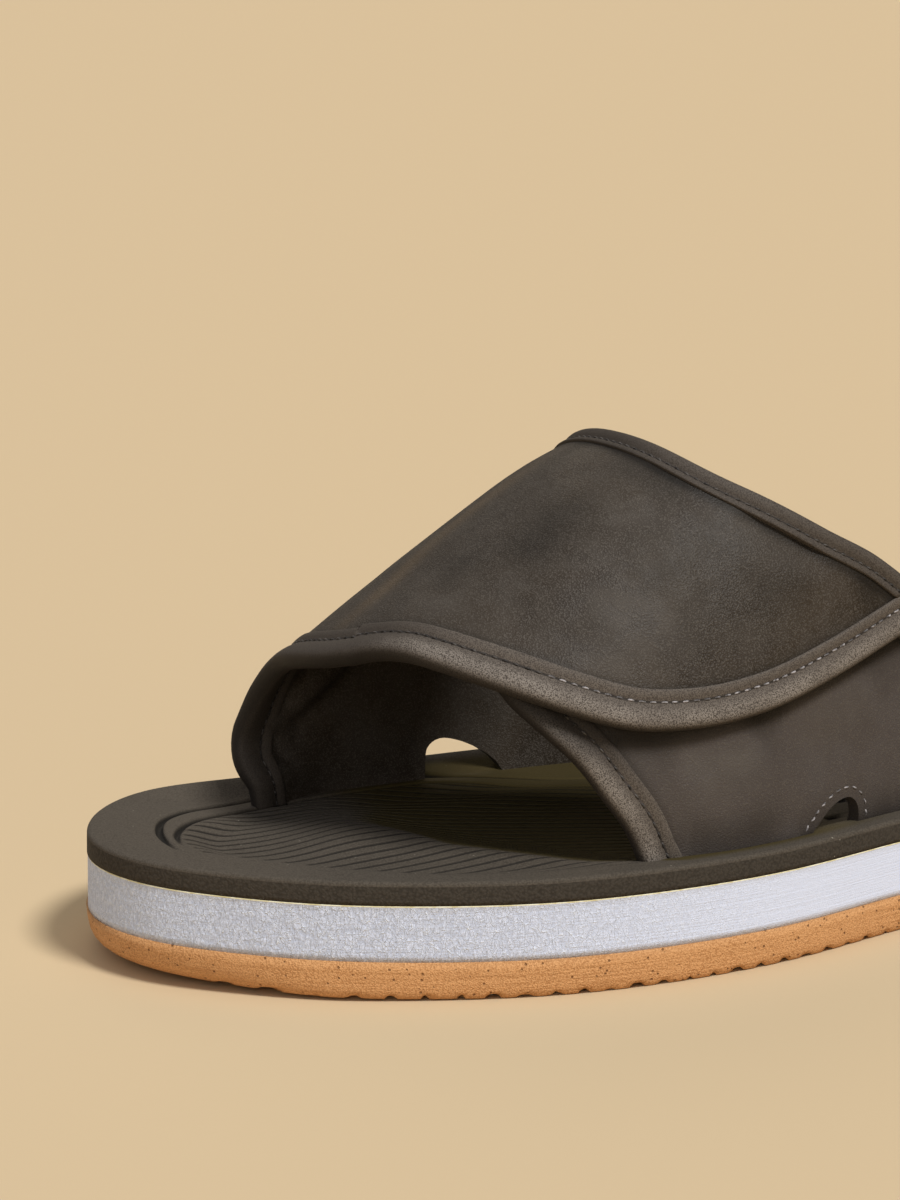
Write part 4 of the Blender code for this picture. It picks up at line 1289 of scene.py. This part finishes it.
def buildPanel(name, places, layer, node, which, foot, edges):
    flat = places.reshape(-1, 2)
    points = surfacePoints(flat, 0)
    size = places.shape[:2]
    u, v = (grid.ravel() for grid in np.meshgrid(*(np.linspace(0, 1, n) for n in size), indexing="ij"))
    rounded = smooth(v / 0.2) * smooth((1 - v) / 0.2) * smooth(u / 0.06) * smooth((1 - u) / 0.3)
    crease, fold = creaseLift(points, creases[which])
    tone = toneOf(points, which, edges)
    lift = layer + crease + bulge[which] * rounded
    points = surfacePoints(flat, lift)
    gap, taper = alongPath(points, warmReflectionPath)
    piece, column, row = wrappedGrid(name, points.reshape(*size, 3))
    for label, values in (("tone", tone), ("fold", fold), ("warmReflection", taper * bell(gap, warmReflectionWidth))):
        addValues(piece, label, values.reshape(size)[column, row])
    laid = places[column, row]
    cutOut(piece, laid[:, 0], laid[:, 1], which, foot, lift.reshape(size)[column, row])
    wall = piece.modifiers.new("wall", "SOLIDIFY")
    wall.thickness = strap["wall"]
    wall.offset = 0
    wall.use_even_offset = True
    wall.material_offset = 1
    wall.material_offset_rim = 1
    applyAll(piece)
    bpy.ops.object.shade_smooth_by_angle(angle=math.radians(50))
    return dress(piece, [leather if which == "medial" else greyAndLitSideLeather, lining], node)


# Tape folded over the strap's edges. Its section gives shares of its width, from the folded edge, then of
# its half thickness
tapeShape = {
    "step": 1.1 * mm,
    "section": (
        (0.000, 0.00), (0.012, 0.34), (0.045, 0.62), (0.100, 0.84), (0.175, 0.97), (0.270, 1.00),
        (0.380, 0.97), (0.490, 0.90), (0.580, 0.79), (0.640, 0.71), (0.685, 0.68), (0.730, 0.72),
        (0.790, 0.82), (0.860, 0.87), (0.940, 0.87), (0.985, 0.84), (1.000, 0.76), (1.000, 0.30),
    ),
    "stitchHeight": 0.75,
}


def tapeLines(line, width, side, foot, stop, share, count):
    moved = trimmed(movedIn(line, share * width, side), foot)
    if stop is not None:
        moved = ended(moved, stop)
    return resampled(moved, count)


def buildTape(name, line, width, side, layer, foot, stop, node):
    half = strap["tapeThickness"] / 2
    section = list(tapeShape["section"])
    section += [(share, -height) for share, height in section[:0:-1]]
    folded = surfacePoints(tapeLines(line, width, side, foot, stop, 0, 60), 0)
    count = int(runLength(folded)[-1] / tapeShape["step"])
    rings, lined = [], {}
    for share, height in section:
        if share not in lined:
            lined[share] = tapeLines(line, width, side, foot, stop, share, count)
        rings.append(surfacePoints(lined[share], layer + height * half))
    rings.append(rings[0])
    piece, column, row = wrappedGrid(name, np.array(rings))
    shares = np.array([share for share, height in section] + [0.0])
    addValues(piece, "acrossTape", shares[column])
    closeUp(piece, fillEnds=True)
    return dress(piece, [frontTape if "Front" in name else backTape], node)


# Stitches: one short length of thread whose ends dip into the tape, copied along each seam
flapShare = 0.56  # where along the front edge the thread turns pale
stitch = {
    "length": 1.8 * mm,
    "pitch": 2.35 * mm,
    "thickness": 0.42 * mm,
    "sides": 6,
    "dip": 0.55 * mm,
    "wobble": 0.09 * mm,
}


def stitchShape():
    radius, length = stitch["thickness"] / 2, stitch["length"]
    deselectAll()
    bpy.ops.mesh.primitive_cylinder_add(vertices=stitch["sides"], radius=radius, depth=length)
    piece = bpy.context.object
    bpy.ops.object.mode_set(mode="EDIT")
    bpy.ops.mesh.select_all(action="SELECT")
    bpy.ops.transform.rotate(value=math.pi / 2, orient_axis="Y", center_override=(0, 0, 0))
    for share in (-0.36, -0.12, 0.12, 0.36):
        bpy.ops.mesh.select_all(action="SELECT")
        bpy.ops.mesh.bisect(plane_co=(share * length, 0, 0), plane_no=(1, 0, 0))
    bpy.ops.object.mode_set(mode="OBJECT")
    points = pointsOf(piece)
    along = np.abs(points[:, 0]) / (length / 2)
    points[:, 1:] *= (1 - 0.45 * along**3)[:, None]
    points[:, 2] -= stitch["dip"] * along**2.5
    faces = [list(face.vertices) for face in piece.data.polygons]
    bpy.data.objects.remove(piece, do_unlink=True)
    return points, faces


stitchPoints, stitchFaces = stitchShape()


def buildStitches(name, tracks, thread):
    # Tracks are (points, outward normals) of seams, walked at the stitch pitch
    points, faces = [], []
    for track, normals in tracks:
        lengths = runLength(track)
        free = lengths[-1] - stitch["length"]
        count = max(1, int(free / stitch["pitch"]))
        for k in range(count + 1):
            at = stitch["length"] / 2 + free * k / count
            middle, ahead, behind = (readAt(at + d, lengths, track) for d in (0, 1.2 * mm, -1.2 * mm))
            up = unit(readAt(at, lengths, normals))
            along = unit(ahead - behind + randomDraws.normal(0, stitch["wobble"], 3))
            across = unit(np.cross(up, along))
            frameOf = np.stack([along, across, np.cross(along, across)])
            start = len(points) * len(stitchPoints)
            points.append(middle + stitchPoints @ frameOf)
            faces += [[start + v for v in face] for face in stitchFaces]
    mesh = bpy.data.meshes.new(name)
    mesh.from_pydata(np.vstack(points).tolist(), [], faces)
    piece = bpy.data.objects.new(name, mesh)
    bpy.context.scene.collection.objects.link(piece)
    mesh.shade_smooth()
    return dress(piece, [thread])


def seamTracks(line, width, side, layer, foot, stop):
    half = strap["tapeThickness"] / 2 * tapeShape["stitchHeight"]
    moved = tapeLines(line, width, side, foot, stop, tapeLook["seamAt"], 260)
    point, normal = archFrame(moved)[:2]
    return [(point + normal * (layer + face * half), normal * face) for face in (1, -1)]


def cutoutTracks(which, foot, layer, panel):
    arch = cutoutArch(which, grow=2.1 * mm)
    arch = arch[arch[:, 1] > 0.2 * mm]
    above = surfacePoints(overFoot(arch, foot), layer + 5 * mm)
    found = [panel.closest_point_on_mesh(Vector(place))[1:3] for place in above]
    point, outward = (np.array(part) for part in zip(*found))
    return [(point + outward * 0.12 * mm, outward)]


def buildStrap():
    closing, overBack = edgeLine(closingEdge, 300), edgeLine(overBackEdge, 200)
    underFront, underBack = edgeLine(underFrontEdge, 160), edgeLine(underBackEdge, 160)
    over, under = strap["layer"], -strap["layer"]
    frontWidth, backWidth = strap["frontTape"], strap["backTape"]
    closingInside, flapEdge = movedIn(closing, frontWidth, 1), closing[len(closing) // 3 :]
    # Painted shadow lines along the inner edges of the front and back tapes
    edges = ((closingInside, 1.2, -0.35), (movedIn(overBack, backWidth + 0.5 * mm, -1), 1.5, -0.9))
    places = overPanelPlaces(closing, overBack)
    medial = buildPanel("medialPanel", places, over, "medial_strap", "medial", 180, edges)
    # Painted shadow under the flap's edge, and painted shadow lines along the tapes' inner edges
    edges = (
        (flapEdge, 3.4, -0.8), (flapEdge, 9.0, -0.35),
        (movedIn(underFront, frontWidth, -1), 1.2, -0.35), (movedIn(underBack, backWidth, 1), 1.2, -0.4),
    )
    places = underPanelPlaces(underFront, underBack)
    lateral = buildPanel("lateralPanel", places, under, "lateral_strap", "lateral", 0, edges)
    print("panels made")
    flapInside, flapBack = closingInside[len(closing) // 2 :], overBack[len(overBack) // 2 :]
    # Name, then edge, width, side, layer, foot, the line that ends it, and node
    routes = (
        ("medialFrontTape", closing, frontWidth, 1, over, 180 + sunk, flapBack, "medial_front_binding"),
        ("medialBackTape", overBack, backWidth, -1, over, 180 + sunk, flapInside, "medial_back_binding"),
        ("lateralFrontTape", underFront, frontWidth, -1, under, -sunk, None, "lateral_front_binding"),
        ("lateralBackTape", underBack, backWidth, 1, under, -sunk, None, "lateral_back_binding"),
    )
    for name, *route in routes:
        piece = buildTape(name, *route)
        if name == "lateralFrontTape":
            # Painted shadow where the flap overhangs this tape
            fromFlap = nearestDistance(pointsOf(piece), surfacePoints(flapEdge, 0))
            addValues(piece, "flapShadow", bell(fromFlap, 7 * mm))
        outer, inner = seamTracks(*route[:-1])
        seam = name.replace("Tape", "Stitches")
        if name == "medialFrontTape":
            turn = int(len(outer[0]) * flapShare)
            buildStitches(seam, [[line[:turn] for line in outer], inner], darkThread)
            buildStitches("flapStitches", [[line[turn:] for line in outer]], paleThread)
        else:
            buildStitches(seam, [outer, inner], darkThread)
    tracks = cutoutTracks("lateral", 0, under, lateral) + cutoutTracks("medial", 180, over, medial)
    buildStitches("cutoutStitches", tracks, paleThread)
    print("tapes and stitches made")


buildStrap()


# Floor, light and camera
camera = {
    "azimuth": 63.2,
    "elevation": 11.8,
    "roll": -0.72,
    "distance": 0.8,
    "target": (-3.65 * mm, -67.1 * mm, 69.6 * mm),
    "focalPixels": 3879,
    "imageHeight": 1200,
}


def directionFrom(azimuth, elevation):
    a, e = math.radians(azimuth), math.radians(elevation)
    return Vector((math.sin(a) * math.cos(e), -math.cos(a) * math.cos(e), math.sin(e)))


def buildCamera():
    data = bpy.data.cameras.new("camera")
    data.sensor_width = 36
    data.lens = camera["focalPixels"] / camera["imageHeight"] * data.sensor_width
    data.clip_start, data.clip_end = 0.01, 50
    thing = bpy.data.objects.new("camera", data)
    bpy.context.scene.collection.objects.link(thing)
    back = directionFrom(camera["azimuth"], camera["elevation"])
    a, roll = math.radians(camera["azimuth"]), math.radians(camera["roll"])
    right = Vector((math.cos(a), math.sin(a), 0))
    up = back.cross(right)
    rolledRight = right * math.cos(roll) + up * math.sin(roll)
    rolledUp = up * math.cos(roll) - right * math.sin(roll)
    turn = Matrix((rolledRight, rolledUp, back)).transposed().to_4x4()
    thing.matrix_world = Matrix.Translation(Vector(camera["target"]) + back * camera["distance"]) @ turn
    bpy.context.scene.camera = thing


floorLook = {"colour": (0.60, 0.467, 0.297), "radius": 9.0}


def buildFloor():
    deselectAll()
    bpy.ops.mesh.primitive_circle_add(vertices=64, radius=floorLook["radius"], fill_type="NGON")
    floor = bpy.context.object
    floor.name = "floor"
    material, tree, shader = newMaterial("paleFloor", 1.0, 0.0)[:3]
    shader.inputs["Base Color"].default_value = (*floorLook["colour"], 1)
    floor.data.materials.append(material)


# Suns: azimuth and elevation that they shine from, strength, angular size and colour. The sky is dim
# towards the heel
suns = (
    ("key", 106, 53, 2.90, 15, (1.0, 0.985, 0.96)),
    ("front", 56, 22, 0.42, 30, (1.0, 0.95, 0.88)),
    ("back", 240, 38, 0.45, 40, (1.0, 0.82, 0.58)),
)
sky = {
    "low": (0.50, 0.42, 0.32),
    "high": (0.80, 0.82, 0.88),
    "strength": 0.56,
    "heelward": (-0.05, 0.60),
    "dim": 0.06,
}


def buildLight():
    for name, azimuth, elevation, strength, size, colour in suns:
        data = bpy.data.lights.new(name, "SUN")
        data.energy = strength
        data.angle = math.radians(size)
        data.color = colour
        lamp = bpy.data.objects.new(name, data)
        bpy.context.scene.collection.objects.link(lamp)
        lamp.rotation_euler = directionFrom(azimuth, elevation).to_track_quat("Z", "Y").to_euler()
    world = bpy.data.worlds.new("studio")
    world.use_nodes = True
    bpy.context.scene.world = world
    tree = world.node_tree
    way = put(tree, "ShaderNodeTexCoord").outputs["Generated"]
    colour = mixed(tree, ranged(tree, placeAlong(tree, way, "Z"), 0.05, 0.6), sky["low"], sky["high"])
    heelward = ranged(tree, placeAlong(tree, way, "Y"), *sky["heelward"], 1.0, sky["dim"])
    colour = mixed(tree, heelward, (0, 0, 0), colour)
    background = tree.nodes["Background"]
    background.inputs["Strength"].default_value = sky["strength"]
    tree.links.new(colour, background.inputs["Color"])
    bpy.context.scene.view_settings.view_transform = "Standard"


buildFloor()
buildLight()
buildCamera()
print("floor, light and camera made")
